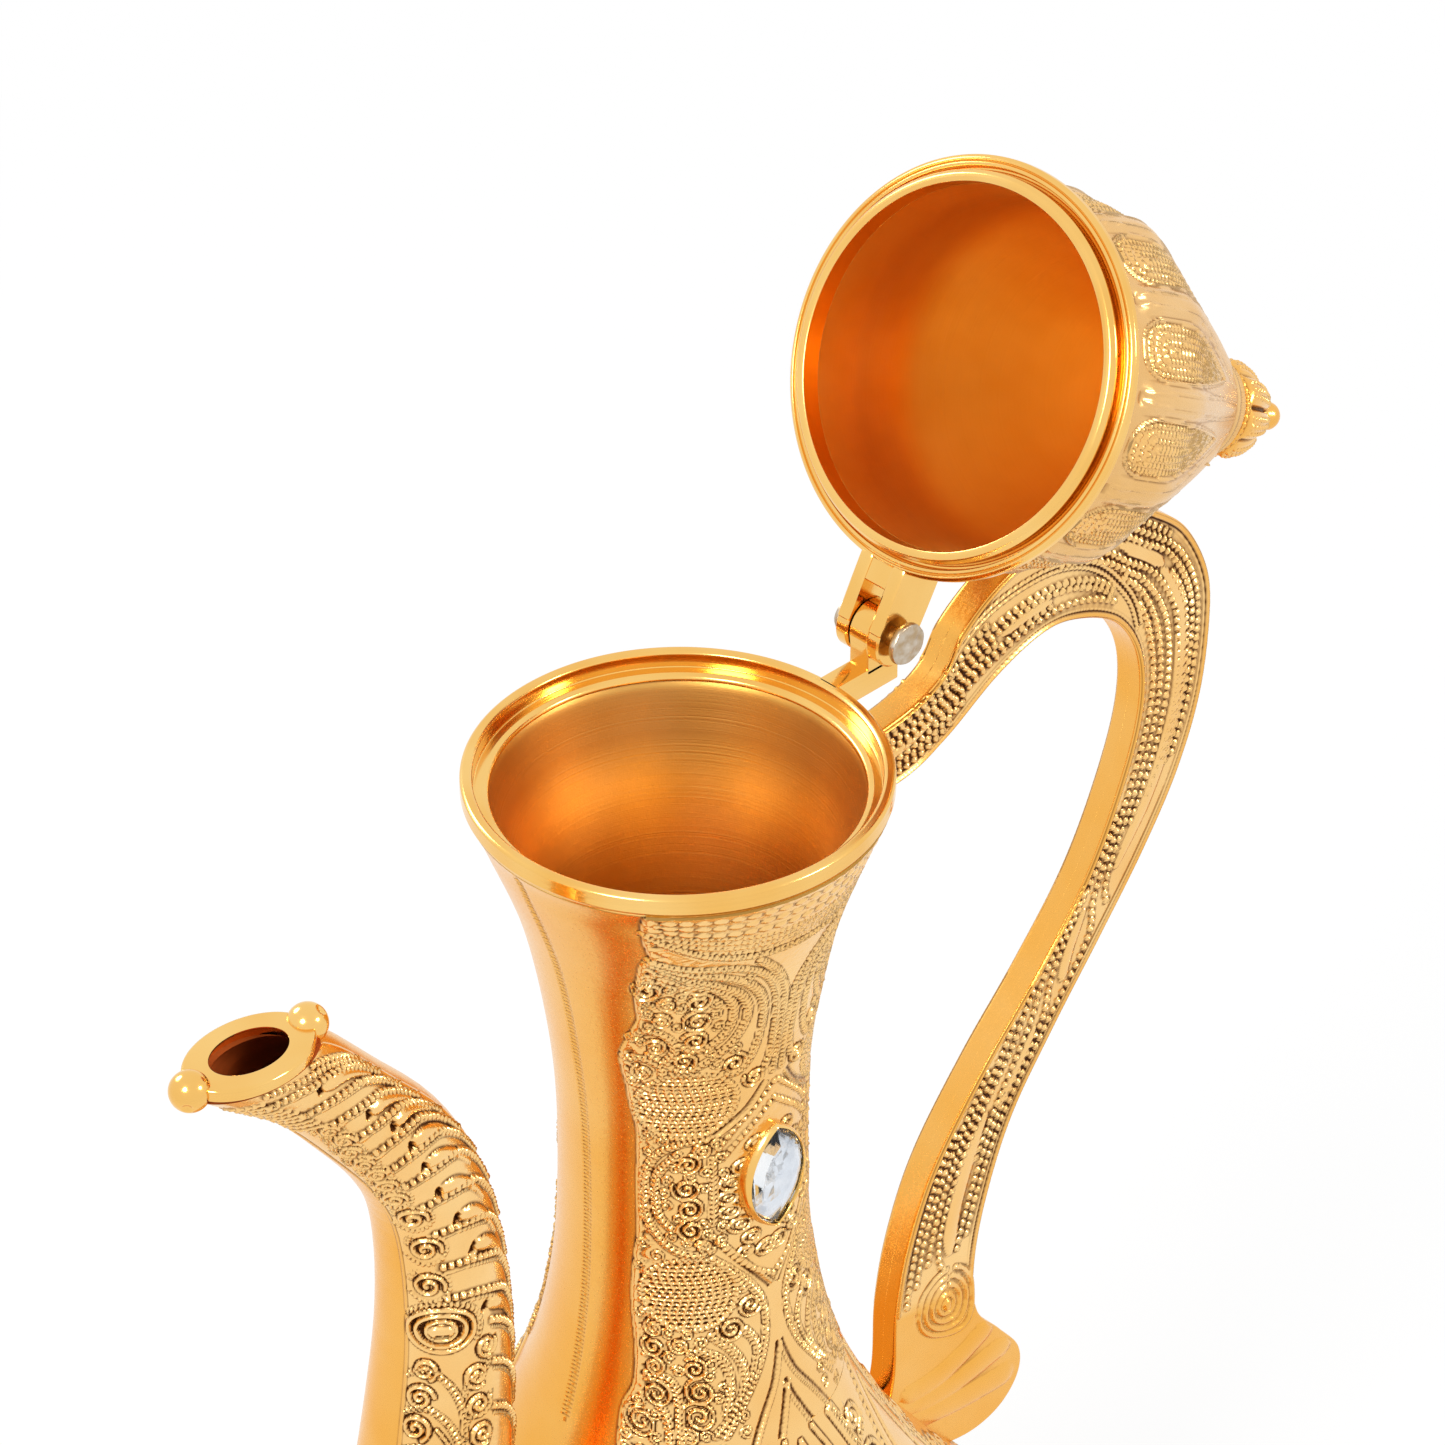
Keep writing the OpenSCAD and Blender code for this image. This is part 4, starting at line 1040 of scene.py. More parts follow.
handleDrawing = {
    # rows of balls: along the handle (mm from the neck), share of the way from the outer to the inner edge
    "rows": [
        [(1, 0.1), (8, 0.12), (16, 0.09), (24, 0.05)],
        [(1, 0.2), (8, 0.21), (16, 0.18), (26, 0.12), (29, 0.16)],
        [(1, 0.31), (8, 0.32), (16, 0.29), (26, 0.22), (32, 0.27), (38, 0.33)],
        [(1, 0.42), (8, 0.43), (17, 0.39), (26, 0.33), (33, 0.37), (40, 0.43), (46, 0.5), (52, 0.56),
         (60, 0.64), (68, 0.72)],
        [(18, 0.47), (26, 0.43), (33, 0.47), (39, 0.52), (43, 0.55), (49, 0.6), (55, 0.66), (62, 0.72),
         (68, 0.78)],
        [(26, 0.52), (32, 0.56), (38, 0.6), (40, 0.64)],
        [(30, 0.64), (36, 0.68), (40, 0.72), (46, 0.75), (52, 0.76)],
        [(1, 0.63), (8, 0.63), (16, 0.61), (24, 0.62), (30, 0.71), (36, 0.76), (42, 0.8), (50, 0.83),
         (60, 0.83), (70, 0.83)],
        [(1, 0.73), (8, 0.74), (18, 0.73), (26, 0.75), (32, 0.83)],
        [(1, 0.83), (8, 0.84), (18, 0.84), (28, 0.86)],
        [(60, 0.12), (68, 0.12), (75, 0.13)],
        [(58, 0.2), (66, 0.2), (74, 0.2), (80, 0.17), (90, 0.17), (100, 0.18), (112, 0.2)],
        [(66, 0.28), (72, 0.29), (77, 0.26), (85, 0.25), (95, 0.26), (104, 0.28), (113, 0.29)],
        [(80, 0.34), (88, 0.33), (97, 0.33), (105, 0.35), (112, 0.37)],
        [(58, 0.34), (63, 0.42), (69, 0.48), (76, 0.47), (84, 0.46), (94, 0.44), (104, 0.43), (112, 0.43),
         (118, 0.44)],
        [(54, 0.38), (60, 0.47), (67, 0.54), (75, 0.57), (84, 0.58), (94, 0.57), (104, 0.56), (113, 0.54),
         (122, 0.53)],
        [(70, 0.62), (77, 0.66), (85, 0.69), (95, 0.69), (105, 0.68), (114, 0.66), (122, 0.63), (128, 0.58),
         (132, 0.48), (135, 0.36), (137, 0.24)],
        [(78, 0.75), (88, 0.8), (98, 0.8), (108, 0.8), (118, 0.77), (126, 0.72), (132, 0.64), (136, 0.52),
         (139, 0.38), (142, 0.26), (147, 0.18), (156, 0.15), (168, 0.14), (182, 0.15), (194, 0.17)],
        [(120, 0.86), (128, 0.84), (136, 0.8), (142, 0.72), (147, 0.6), (151, 0.48), (154, 0.36),
         (158, 0.27), (166, 0.24), (176, 0.24), (186, 0.25), (196, 0.27)],
        [(132, 0.88), (140, 0.86), (146, 0.78), (151, 0.64), (155, 0.52), (160, 0.45), (166, 0.38),
         (172, 0.34), (180, 0.34)],
        [(148, 0.86), (154, 0.72), (159, 0.62), (166, 0.58), (174, 0.56), (184, 0.56), (192, 0.55),
         (197, 0.48), (199, 0.4)],
        [(154, 0.85), (160, 0.74), (168, 0.68), (178, 0.66), (188, 0.66), (196, 0.64)],
        [(162, 0.85), (170, 0.78), (180, 0.76), (190, 0.76), (199, 0.75)],
        [(172, 0.87), (182, 0.86), (192, 0.86), (202, 0.85)]],
    # smooth tongues between the rows, with their half width in mm
    "tongues": [([(1, 0.53), (8, 0.53), (16, 0.51), (24, 0.5)], 0.8),
                ([(42, 0.62), (46, 0.66), (52, 0.7)], 0.9), ([(66, 0.36), (72, 0.38), (77, 0.37)], 1.0),
                ([(78, 0.4), (90, 0.39), (102, 0.37), (113, 0.38), (122, 0.4), (130, 0.42)], 1.5),
                ([(136, 0.66), (142, 0.56), (147, 0.42), (150, 0.32)], 1.1),
                ([(158, 0.36), (164, 0.31), (172, 0.29)], 0.9),
                ([(172, 0.47), (180, 0.45), (190, 0.42), (196, 0.36)], 1.6)],
    "crown": [(28, 0.02), (31, 0.08), (40, 0.18), (50, 0.31), (57, 0.42), (65, 0.57), (73, 0.7), (82, 0.83)],
    "edges": [(0.035, 0.5, 0.28), (0.075, 0.36, 0.22)], "sunk": 0.32,
    "start": 24, "boss": (205.5, 0.36, 5.4), "bossWide": 16.0, "turns": (1.0, 0.76, 0.52, 0.28),
    "leaf": [(214, 0.14), (216, 0.3), (219, 0.48), (223, 0.66), (227, 0.82)],
}


def drawHandle(sheet):
    drawing = handleDrawing
    mid = len(sheet["cols"]) // 2
    origin = np.interp(drawing["start"], sheet["p"][:200, mid, 0], sheet["rows"][:200])
    stroke = pen(sheet, lambda s, u: (u, s + origin))
    along, share = sheet["rows"][:, None] - origin, sheet["cols"][None, :]
    sheet["worked"] = ease(share - 0.045, 0.02) * ease(0.955 - share, 0.02) * ease(204 - along, 2)
    # the recesses near the boss get less of the patina and painted shade
    sheet["soil"] = np.interp(along, [196, 204], [1, 0.45])
    for inset, wide, high in drawing["edges"]:
        for u in (inset, 1 - inset):
            wire(stroke, [(2, u), (60, u), (120, u), (203, u)], wide, high)
    for row in drawing["rows"]:
        beads(stroke, bend(row), 1.15, 1.5, 0.62)
    for tongue, half in drawing["tongues"]:
        line = bend(tongue)
        wide = half * np.interp(np.linspace(0, 1, len(line)), [0, 0.25, 0.75, 1], [0.4, 1, 1, 0.3])
        taper(stroke, line, wide, lambda w: 0.36)
    for shift in (0, 0.06):                     # the crown's plain double band
        wire(stroke, bend(np.array(drawing["crown"]) + [0, shift]), 0.6, 0.34)
    # boss at the lower end: ovals round a stud, then the curled leaf under it
    s, u, r = drawing["boss"]
    for turn in drawing["turns"]:
        oval = ring(r * turn * 1.15, r * turn / drawing["bossWide"], 200, 540)
        wire(stroke, oval + [s, u], 0.9, 0.34)
    stroke([(s - 0.3, u), (s + 0.3, u)], 0.3, 0.9, 0.9, 0.7)
    for k in range(3):
        stroke(bend(np.array(drawing["leaf"]) + [4.6 * k, 0]), 0.4, 2.1, 2.1, 0.45)
    carve(sheet, -drawing["sunk"] * sheet["worked"])


print("handle")
handleGrid = handleSheet()
drawHandle(handleGrid)
handleCore = handleGrid["p"] * [1, 0, 1]
castHalves("handleShell_", "handle_half_", lambda mirror: (handleGrid, handleCore), [reliefGold], 1, (6, 4))


lidShape = {"gap": 0.15, "wall": 1.8, "edgeWall": 0.5, "rowGap": 0.3, "colGap": 0.3,
            # radius and height above the flange's face
            "curve": [(26.2, 1.6), (26.3, 8), (26.7, 14), (26.3, 20), (23.9, 26), (17.9, 38), (11.5, 50),
                      (8.5, 56), (6.7, 61)],
            "flange": [(25.7, 1.6), (25.7, -1.7), (26.3, -1.85), (26.9, -1.7), (27.45, -1.1), (27.5, 1.3),
                       (27.95, 1.3), (28.1, 0.0), (28.62, 0.0), (28.8, 0.4), (28.98, 0.0), (29.2, 0.0),
                       (29.7, 0.35), (29.7, 1.25), (29.3, 1.6), (27.5, 2.2), (26.4, 2.9), (25.9, 2.9)]}


def swung(points):
    # from the closed lid's place on the rim to the open one
    p = np.asarray(points, float) - [hingeX, 0, hingeZ - rimTop - lidShape["gap"]]
    c, s = math.cos(openAngle), math.sin(openAngle)
    x, y, z = np.moveaxis(p, -1, 0)
    return np.stack([x * c + z * s + hingeX, y, z * c - x * s + hingeZ], -1)


def turnedShell(name, line, rows, count, draw, inside, materials, body, parts, every):
    # a carved shell turned round the axis; the lid's are drawn closed and then swung open
    angles = np.linspace(0, 360, count, endpoint=False)
    sheet = makeSheet(rows, angles, lathe(line, angles), wrap=True)
    draw(sheet)
    inner = lathe(inside, angles)
    if body == "lid":
        ends = swung(sheet["p"] + sheet["n"])
        sheet["p"], inner = swung(sheet["p"]), swung(inner)
        sheet["n"] = ends - sheet["p"]
    return thickened(name, sheet, inner, materials, body, parts, every)


# the lid's recesses get less of the patina and painted shade
domeDrawing = {"panels": 12, "sunk": 0.3, "rise": 0.85, "soil": 0.55,
               # half width in degrees at each height of the pointed panel
               "panel": [(0, 7.6), (3.6, 7.9), (6.6, 9), (8.8, 11.4), (9.5, 14.4), (9.2, 18), (8.6, 22),
                         (7.6, 27), (6, 32), (4, 36.5), (1.8, 40), (0, 42)],
               "outer": [(13.6, 8), (12.6, 14), (12.2, 20), (11.6, 28), (10.6, 36), (9.6, 44), (8.6, 52),
                         (8, 56)],
               "nested": [(0.8, 9.2, 40.4), (0.55, 10.8, 38), (0.3, 12.4, 35), (0.06, 14, 40)],
               "rings": [(5.2, 0.8), (57, 0.7), (59.4, 0.9)]}


def drawDome(sheet):
    drawing = domeDrawing
    step = 360 / drawing["panels"]
    outline, outer = bend(drawing["panel"]), bend(drawing["outer"])
    height, turn = sheet["rows"][:, None], sheet["cols"][None, :]
    off = np.abs((turn + step / 2) % step - step / 2)
    girth = np.hypot(sheet["p"][:, :1, 0], sheet["p"][:, :1, 1]) * math.pi / 180
    half = np.interp(height, outline[:, 1], outline[:, 0], left=0, right=0)
    inside = ease((half - off) * girth, 0.5)
    flute = np.maximum(0, 1 - ((step / 2 - off) / 5.2)**2) * ease(height - 7, 2) * ease(56 - height, 8)
    sheet["worked"], sheet["soil"] = inside, drawing["soil"]
    for k in range(drawing["panels"]):
        stroke = pen(sheet, lambda x, z, middle=k * step: ((x + middle) % 360, z), (1, -1))
        wire(stroke, outline, 0.55, 0.4)
        wire(stroke, outer, 0.45, 0.26)
        stroke(shifted(outer, 0.5), 0.25, 0.25, 0.25, 0.2, dent=True)
        for share, low, high in drawing["nested"]:
            z = np.interp(outline[:, 1], [outline[0, 1], outline[-1, 1]], [low, high])
            line = np.stack([np.interp(z, outline[:, 1], outline[:, 0]) * share, z], 1)
            beads(stroke, np.vstack([[0, low], line[line[:, 1] > low + 0.4]]), 0.78, 0.86, 0.38)
        # the sunk wedge at the foot of each flute
        for z in np.arange(7.6, 16.4, 0.35):
            w = np.interp(z, [7.6, 16.4], [1.0, 0.15])
            stroke([(step / 2 - 0.3, z), (step / 2, z)], 0.3, w, w, 0.25 * w, dent=True)
    stroke = pen(sheet, lambda x, z: (x % 360, z))
    for z, wide in drawing["rings"]:
        for a in np.arange(0, 360, 3):
            stroke([(a, z), (a + 2.9, z)], 0.25, wide / 2, wide / 2, 0.4)
    carve(sheet, drawing["rise"] * flute * (1 - inside) - drawing["sunk"] * inside)


finialDrawing = {"line": [(6, 61), (7, 62.6), (6.9, 65), (5.6, 68.4), (3.4, 71.4), (1.8, 72.8), (1.4, 73.6),
                          (1.5, 74.4), (2.02, 75.4), (2.1, 76), (2.02, 76.6), (1.5, 77.5), (0.7, 78),
                          (0.1, 78.1)],
                 # the finial's recesses get a little less of the patina and painted shade
                 "ribs": 8, "rise": 0.6, "rowGap": 0.12, "core": 0.05, "soil": 0.8}


def drawFinial(sheet):
    drawing = finialDrawing
    height, turn = sheet["rows"][:, None], sheet["cols"][None, :]
    span = ease(height - 62, 1.2) * ease(71.6 - height, 2.5)
    rib = np.abs(np.cos(np.radians(turn) * drawing["ribs"] / 2))
    sheet["worked"], sheet["soil"] = span * 0.6 + 0 * rib, drawing["soil"]
    stroke = pen(sheet, lambda x, z: (x % 360, z))
    step = 360 / drawing["ribs"]
    for a in np.arange(drawing["ribs"]) * step:
        beads(stroke, [(a, 63), (a, 66), (a, 69.6)], 0.8, 0.9, 0.3)
        gap = a + 0.5 * step
        stroke([(gap, 62.6), (gap, 66), (gap, 70.6)], 0.2, 0.4, 0.4, 0.7, dent=True)
        for side in (-0.28, 0.28):
            beads(stroke, [(gap + step * side, 63), (gap + step * side, 69.6)], 0.7, 0.84, 0.32)
    for a in np.arange(0, 360, 9.0):
        stroke([(a, 61.6), (a + 0.5, 61.6)], 0.3, 0.5, 0.5, 0.42)
    carve(sheet, drawing["rise"] * span * (rib - 0.6))


print("lid")
domeLine = evenly(bend(lidShape["curve"]), lidShape["rowGap"])
domeColumns = math.ceil(360 / math.degrees(lidShape["colGap"] / 26))
thin = np.exp((domeLine[0, 1] - domeLine[:, 1:]) / 8)          # the wall is thinner at the flange
domeWall = (lidShape["edgeWall"] + (lidShape["wall"] - lidShape["edgeWall"]) * (1 - thin)) * [1, 0]
goldPlated(turnedShell("domeShell", domeLine, domeLine[:, 1], domeColumns, drawDome, domeLine - domeWall,
                       [lidReliefGold, lidInsideGold], "lid", 2, (6, 8)), "lid_dome")
finialLine = evenly(bend(finialDrawing["line"], 6), finialDrawing["rowGap"])
finialCore = finialLine * [0, 1] + [finialDrawing["core"], 0]
goldPlated(turnedShell("finialBulb", finialLine, finialLine[:, 1], 200, drawFinial, finialCore, [reliefGold],
                       "lid", 1, (8, 20)), "finial")
goldPlated([lathePiece("lidFlange", lidShape["flange"], 0.16, lidWheelGold, "lid", swung)], "lid_rim")


hingeShape = {"pin": 1.6, "play": 0.06, "knuckle": 3.6, "gap": 0.15, "prong": 2.2, "prongRound": 4.3,
              "prongTop": 3.7,
              "bevel": 0.28, "knuckleRound": 3.9, "knuckleBevel": 0.2, "lug": (29.2, -4.2, 0.0),
              "lugBevel": 0.3,
              "postX": 35.3, "web": (28.6, 32.8, 0.2, 3.4), "head": 3.15}


def outlineRing(outline, centre, count=160):
    # points of a closed outline seen from its centre, at even angles
    p = np.array(outline, float) - centre
    way = circle(count)
    best = np.full(count, np.inf)
    for u, v in zip(p, np.roll(p, -1, 0)):
        e = v - u
        cross = way[:, 0] * e[1] - way[:, 1] * e[0]
        cross = np.where(np.abs(cross) < 1e-9, 1e-9, cross)
        far = (u[0] * e[1] - u[1] * e[0]) / cross
        on = (u[0] * way[:, 1] - u[1] * way[:, 0]) / cross
        hit = (far > 0) & (on >= -1e-6) & (on <= 1 + 1e-6)
        best = np.where(hit & (far < best), far, best)
    return way * best[:, None] + centre, way


def eyePlate(name, outline, centre, hole, y0, y1, bevel, material, body, move):
    # a flat plate with a drilled eye; outline in x and height, seen from the left side
    edge, way = outlineRing(outline, centre)
    eye, near = way * hole + centre, edge - way * bevel
    rings = [upright(xz, y) for xz, y in ((eye, y0), (near, y0), (edge, y0 + bevel), (edge, y1 - bevel),
                                          (near, y1), (eye, y1))]
    return loftPiece(name, [move(ring) for ring in rings], material, body, 32)


def arc(cx, cz, r, start, end):
    return list(map(tuple, circle(40, start, end, True) * r + [cx, cz]))


def prongPlate(name, side):
    # ear of the lid, drawn on the closed lid; heights from the flange's face
    shape = hingeShape
    up = hingeZ - rimTop - lidShape["gap"]
    top = hingeZ - rimTop + shape["prongTop"]
    r = shape["prongRound"]
    low, high = [math.degrees(math.asin(max(-1, min(1, z / r)))) for z in (-up, top - up)]
    outline = [(28.6, 0.02), (hingeX, 0.02)] + arc(hingeX, up, r, max(low, -89), high)
    outline += [(hingeX - 1.5, top), (29.4, top), (28.8, top - 0.6), (28.6, top - 2.4)]
    inner = shape["knuckle"] / 2 + shape["gap"]
    y0, y1 = sorted((side * inner, side * (inner + shape["prong"])))
    return eyePlate(name, outline, np.array([hingeX, up]), shape["pin"] + shape["play"], y0, y1,
                    shape["bevel"], lidWheelGold, "lid", swung)


def bar(name, x0, x1, z0, z1, half, bevel, material, body, move):
    # a straight bar along x with broken edges
    section = rounded([(-half, z0), (half, z0), (half, z1), (-half, z1)], bevel, 3)[0]
    middle = np.array([0, (z0 + z1) / 2])
    rings = [np.column_stack([np.full(len(section), x), (section - middle) * grow + middle])
             for x, grow in ((x0, 1), (x1 - bevel, 1), (x1, 1 - bevel / half))]
    return loftPiece(name, [move(ring) for ring in rings], material, body, 32, False)


def rivetHead(name, y, out, seed):
    # hammered over: a low dome with flat blows, slightly out of round
    spots = np.random.default_rng(seed).uniform(-1, 1, (16, 2)) * 0.8
    r, way = hingeShape["head"], circle(96)
    a = np.radians(np.linspace(0, 360, 96, endpoint=False))
    rough = 1 + 0.02 * np.sin(3 * a + seed) + 0.012 * np.sin(7 * a)
    edge = way * rough[:, None]
    rings = [upright(edge * r * grow + [hingeX, hingeZ], y + out * z)
             for grow, z in ((0.95, 0.0), (1.0, 0.35), (1.0, 0.7), (0.97, 0.95))]
    for share in np.linspace(1, 0.03, 26):
        blow = sum(0.16 * np.exp(-((share * 0.93 * way - spot)**2).sum(1) / 0.035) for spot in spots)
        lift = 1.0 + 0.5 * (1 - share**2)
        rings.append(upright(edge * r * share * 0.93 + [hingeX, hingeZ], y + out * (lift - blow)))
    return loftPiece(name, [points[::-out] for points in rings], rivetSteel, "pot", 60, False)


print("hinge")
shape = hingeShape
x0, low, top = shape["lug"]
half, reach = shape["knuckle"] / 2, shape["knuckle"] / 2 + shape["gap"] + shape["prong"]
ledge = rimTop + top - 0.9
goldPlated([prongPlate("lidProng_right", 1), prongPlate("lidProng_left", -1),
            bar("lidWeb", *shape["web"], half + shape["gap"] + 0.1, 0.2, lidWheelGold, "lid", swung)],
           "lid_rim")
knuckleOutline = arc(hingeX, hingeZ, shape["knuckleRound"], 0, 180)
knuckleOutline += [(shape["postX"], hingeZ - 2), (shape["postX"], ledge), (hingeX + 2.6, ledge),
                   (hingeX + 3.6, ledge + 1.5)]
goldPlated([eyePlate("hingeKnuckle", knuckleOutline, np.array([hingeX, hingeZ]), shape["pin"] - 0.02,
                     -half, half, shape["knuckleBevel"], wheelGold, "pot", np.asarray),
            bar("hingeLug", x0, hingeX + 2.6, rimTop + low, rimTop + top, half, shape["lugBevel"],
                wheelGold, "pot", np.asarray)], "hinge_bracket")
shank = circle(64) * shape["pin"] + [hingeX, hingeZ]
for piece in (rivetHead("rivetHead_left", -(reach + 1), -1, 3),
              rivetHead("rivetHead_right", reach + 0.3, 1, 5),
              loftPiece("rivetShank", [upright(shank, y) for y in (-5.4, 4.8)], rivetSteel, "pot", 60,
                        False)):
    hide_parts("hinge_pin")


footShape = {"rowGap": 0.4, "petals": 24, "rise": 0.6,
             "out": [(19, 18), (21, 18), (24, 18), (24.6, 14), (28, 9), (34, 4.3), (38.4, 2.3), (39, 1.6),
                     (39, 0.4), (38.6, 0)],
             "in": [(19, 17.9), (19, 14), (21, 10), (28, 5), (35, 1.3), (36.4, 0)]}


def drawFoot(sheet):
    step = 360 / footShape["petals"]
    along, turn = sheet["rows"][:, None], sheet["cols"][None, :]
    end = float(sheet["rows"][-1])
    lobe = np.abs(np.cos(np.radians(turn) * footShape["petals"] / 2))
    span = ease(along - 8, 2) * ease(end - 7 - along, 2)
    sheet["worked"] = span + 0 * lobe
    stroke = pen(sheet, lambda x, s: (x % 360, s))
    for a in np.arange(footShape["petals"]) * step:
        petal = [(-0.5, 9), (-0.36, end - 10), (0, end - 7.4), (0.36, end - 10), (0.5, 9)]
        wire(stroke, bend([(a + step * share, s) for share, s in petal]), 0.6, 0.4)
        beads(stroke, [(a, 11), (a, 15), (a, end - 12)], 0.9, 1.1, 0.4)
    for s in (6.5, end - 4.6):
        for a in np.arange(0, 360, 3.0):
            stroke([(a, s), (a + 0.6, s)], 0.5, 0.75, 0.6, 0.45)
    carve(sheet, footShape["rise"] * span * (np.sqrt(lobe) - 0.8))


print("rim and foot")
mouthOutline = [(26.0, -3.4), (29.5, -3.4), (29.6, -2.9), (30, -2.5), (30, -0.35), (29.6, 0), (28.7, 0),
                (28.25, -0.3), (28.2, -2.5), (26.9, -2.5), (26.2, -2.75), (26.0, -3.1)]
goldPlated([lathePiece("mouthRing", mouthOutline, 0.2, wheelGold, "pot", lambda p: p + [0, 0, rimTop])],
           "rim_ring")

footOut = evenly(bend(footShape["out"], 6), footShape["rowGap"])
footIn = evenly(bend(footShape["in"], 6), 0.2)
far = alongCurve(footIn)
footIn = pick(footIn, far, np.linspace(0, far[-1], len(footOut)))
goldPlated(turnedShell("footShell", footOut, alongCurve(footOut), 480, drawFoot, footIn,
                       [reliefGold, insideGold], "pot", 1, (6, 8)), "foot")


stoneShape = {"long": 17.4, "wide": 10.6, "frame": (18.7, 11.8), "drop": 60.5, "face": 19.6}


def leaf(long, wide, count):
    # a pointed oval where two equal circles meet, upright
    r = (long * long + wide * wide) / (4 * wide)
    half = math.asin(long / 2 / r)
    a = np.linspace(-half, half, count, endpoint=False)
    right = np.stack([r * np.cos(a) - r + wide / 2, r * np.sin(a)], 1)
    return np.vstack([right, -right])


def leafRing(long, wide, depth, count=48):
    # a pointed oval in the left setting, at a depth behind its face
    return upright(leaf(long, wide, count) + [0, rimTop - stoneShape["drop"]], depth - stoneShape["face"])


def settingPiece(name):
    long, wide = stoneShape["frame"]
    rings = [leafRing(long + grow, wide + grow, depth) for grow, depth in ((0, 5.2), (0, 1.2), (-0.3, 0.6))]
    long, wide = stoneShape["long"], stoneShape["wide"]
    rings += [leafRing(long + grow, wide + grow, depth)
              for grow, depth in ((0.4, 0.1), (0.1, 0), (-0.15, 0.1), (-0.3, 0.35), (-0.3, 5.0))]
    return loftPiece(name, rings, wheelGold, "pot", 60)


def stonePiece(name):
    # fancy cut: girdle, star of main facets and a table, closed below by a flat foil back
    long, wide = stoneShape["long"] - 0.3, stoneShape["wide"] - 0.3
    made = bmesh.new()
    for tall, broad, depth, count in ((1, 1, 0.5, 12), (0.66, 0.66, -0.4, 6), (0.34, 0.36, -0.95, 3),
                                      (0.94, 0.94, 1.7, 12)):
        for point in leafRing(long * tall, wide * broad, depth, count):
            made.verts.new(point * mm)
    bmesh.ops.convex_hull(made, input=made.verts)
    bmesh.ops.dissolve_limit(made, angle_limit=math.radians(1.5), verts=made.verts, edges=made.edges)
    mesh = bpy.data.meshes.new(name)
    made.to_mesh(mesh)
    made.free()
    mesh.materials.append(stoneGlass)
    return linked(name, mesh, "pot")


def foilPiece(name):
    # crumpled into small flats behind the stone
    long, wide = stoneShape["long"], stoneShape["wide"]
    folds = np.random.default_rng(7)
    rings = []
    for share in (0.02, 0.3, 0.55, 0.8, 0.96):
        depth = 1.85 + 0.2 * (1 - share) - folds.uniform(-0.32, 0, 16)
        rings.append(leafRing(long * 0.975 * share, wide * 0.965 * share, depth, 8))
    # the cup's wall round the girdle, then back down outside and closed underneath
    for share, depth in ((0.985, 1.9), (0.995, 0.55), (1.0, 0.55), (1.0, 2.6), (0.02, 2.6)):
        rings.append(leafRing((long - 0.12) * share, (wide - 0.12) * share, depth, 8))
    return loftPiece(name, rings, foil, "pot", 5, False)


print("stones")
for side in ("left", "right"):
    pieces = settingPiece("stoneSetting_" + side), stonePiece("stone_" + side), foilPiece("stoneFoil_" + side)
    for piece, slot in zip(pieces, ("gold_plate", "clear_stone", "gold_plate")):
        if side == "right":                     # half a turn round the pot's axis
            for vertex in piece.data.vertices:
                vertex.co = (-vertex.co.x, -vertex.co.y, vertex.co.z)
    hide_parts("stone_setting_" + side)
    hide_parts("stone_" + side)

for node, material in (("floor_disc", insideGold), ("finial_stud", rivetSteel), ("finial_nut", rivetSteel)):
    solid = bpy.data.objects[node]
    solid.data.materials.clear()
    solid.data.materials.append(material)


def softLamp(name, place, size, watts, aim=(0, 0, 0.2)):
    lamp = bpy.data.lights.new(name, "AREA")
    lamp.shape, lamp.size, lamp.energy = "DISK", size, watts
    holder = bpy.data.objects.new(name, lamp)
    holder.location = place
    holder.rotation_mode = "QUATERNION"
    holder.rotation_quaternion = (Vector(aim) - Vector(place)).to_track_quat("-Z", "Y")
    bpy.context.scene.collection.objects.link(holder)


def lookedAt(tree):
    # 1 where the camera, a reflection or a view through glass meets the backdrop itself
    rays = "Is Camera Ray", "Is Glossy Ray", "Is Transmission Ray"
    camera, glossy, through = [add(tree, "LightPath", {}, ray) for ray in rays]
    seen = add(tree, "Math", {"operation": "MAXIMUM", 0: camera, 1: glossy})
    return add(tree, "Math", {"operation": "MAXIMUM", 0: seen, 1: through})


print("stage")
stageLook = {"white": linear("#FFFFFF"), "fill": 0.55, "paperRough": 0.9, "floorSize": 6,
             # the paper is a little darker near the pot, so that its shadow and feet have ground
             "near": 0.15, "far": 0.6, "nearGlow": 0.8}
world = bpy.data.worlds.new("studio")
bpy.context.scene.world = world
world.use_nodes = True
sky = world.node_tree
sky.nodes.clear()
white, fill = [add(sky, "Background", {"Color": stageLook["white"], "Strength": level})
               for level in (1.0, stageLook["fill"])]
mixed = add(sky, "MixShader", {"Fac": lookedAt(sky), 1: fill, 2: white})
fit(sky, sky.nodes.new("ShaderNodeOutputWorld"), {"Surface": mixed})

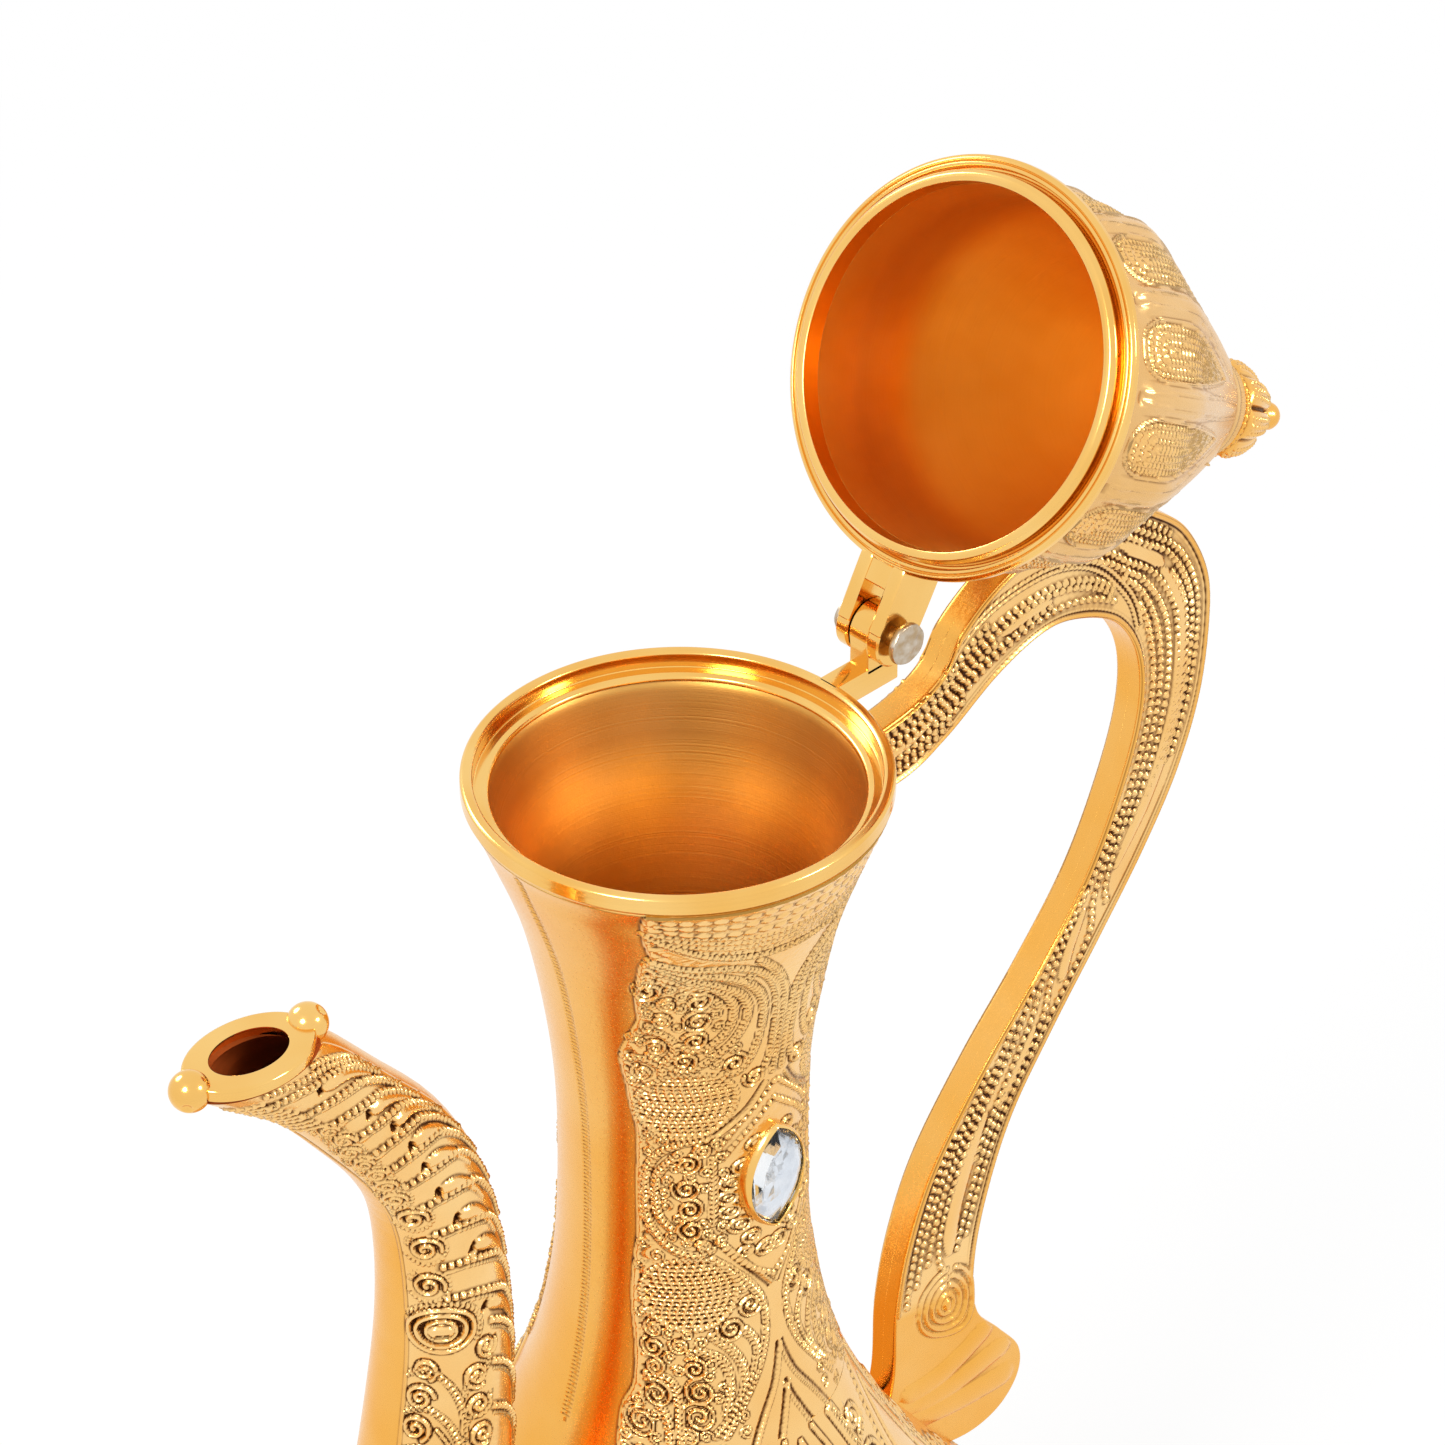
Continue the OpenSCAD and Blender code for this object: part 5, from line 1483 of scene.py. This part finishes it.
paper, floorTree, floorShader, place = newMaterial("matt_white_paper")
fit(floorTree, floorShader, {"Base Color": stageLook["white"], "Roughness": stageLook["paperRough"]})
away = add(floorTree, "VectorMath", {"operation": "LENGTH", 0: place}, "Value")
share = add(floorTree, "MapRange", {"Value": away, "From Min": stageLook["near"],
                                    "From Max": stageLook["far"], "To Min": stageLook["nearGlow"],
                                    "To Max": 1.0})
glow = add(floorTree, "Math", {"operation": "MULTIPLY", 0: lookedAt(floorTree), 1: share})
plain = add(floorTree, "Emission", {"Color": stageLook["white"], "Strength": 1.0})
mixed = add(floorTree, "MixShader", {"Fac": glow, 1: floorShader.outputs[0], 2: plain})
fit(floorTree, floorTree.nodes["Material Output"], {"Surface": mixed})
bpy.ops.mesh.primitive_plane_add(size=stageLook["floorSize"])
floor = bpy.context.object
floor.name = "floor"
floor.data.materials.append(paper)

softLamp("keyLamp", (-1.0, -0.25, 1.1), 0.45, 9)
softLamp("sideLamp", (0.55, -1.0, 0.9), 0.3, 5)
softLamp("rimLamp", (-0.15, 1.1, 0.85), 0.5, 6)

cameraView = {"lens": 176.42, "aim": (8.61, 0, 235.6), "azimuth": -44.33, "elevation": 35.37, "roll": -0.34,
              "distance": 974.2}
cameraData = bpy.data.cameras.new("camera")
camera = bpy.data.objects.new("camera", cameraData)
bpy.context.scene.collection.objects.link(camera)
cameraData.lens, cameraData.sensor_width = cameraView["lens"], 36
cameraData.clip_start, cameraData.clip_end = 0.05, 20
turn, tilt, roll = [math.radians(cameraView[k]) for k in ("azimuth", "elevation", "roll")]
back = Vector((math.sin(turn) * math.cos(tilt), -math.cos(turn) * math.cos(tilt), math.sin(tilt)))
camera.matrix_world = (Matrix.Translation((Vector(cameraView["aim"]) + cameraView["distance"] * back) * mm)
                       @ Matrix.Rotation(turn, 4, "Z") @ Matrix.Rotation(math.pi / 2 - tilt, 4, "X")
                       @ Matrix.Rotation(roll, 4, "Z"))
bpy.context.scene.camera = camera
bpy.context.scene.view_settings.view_transform = "Standard"
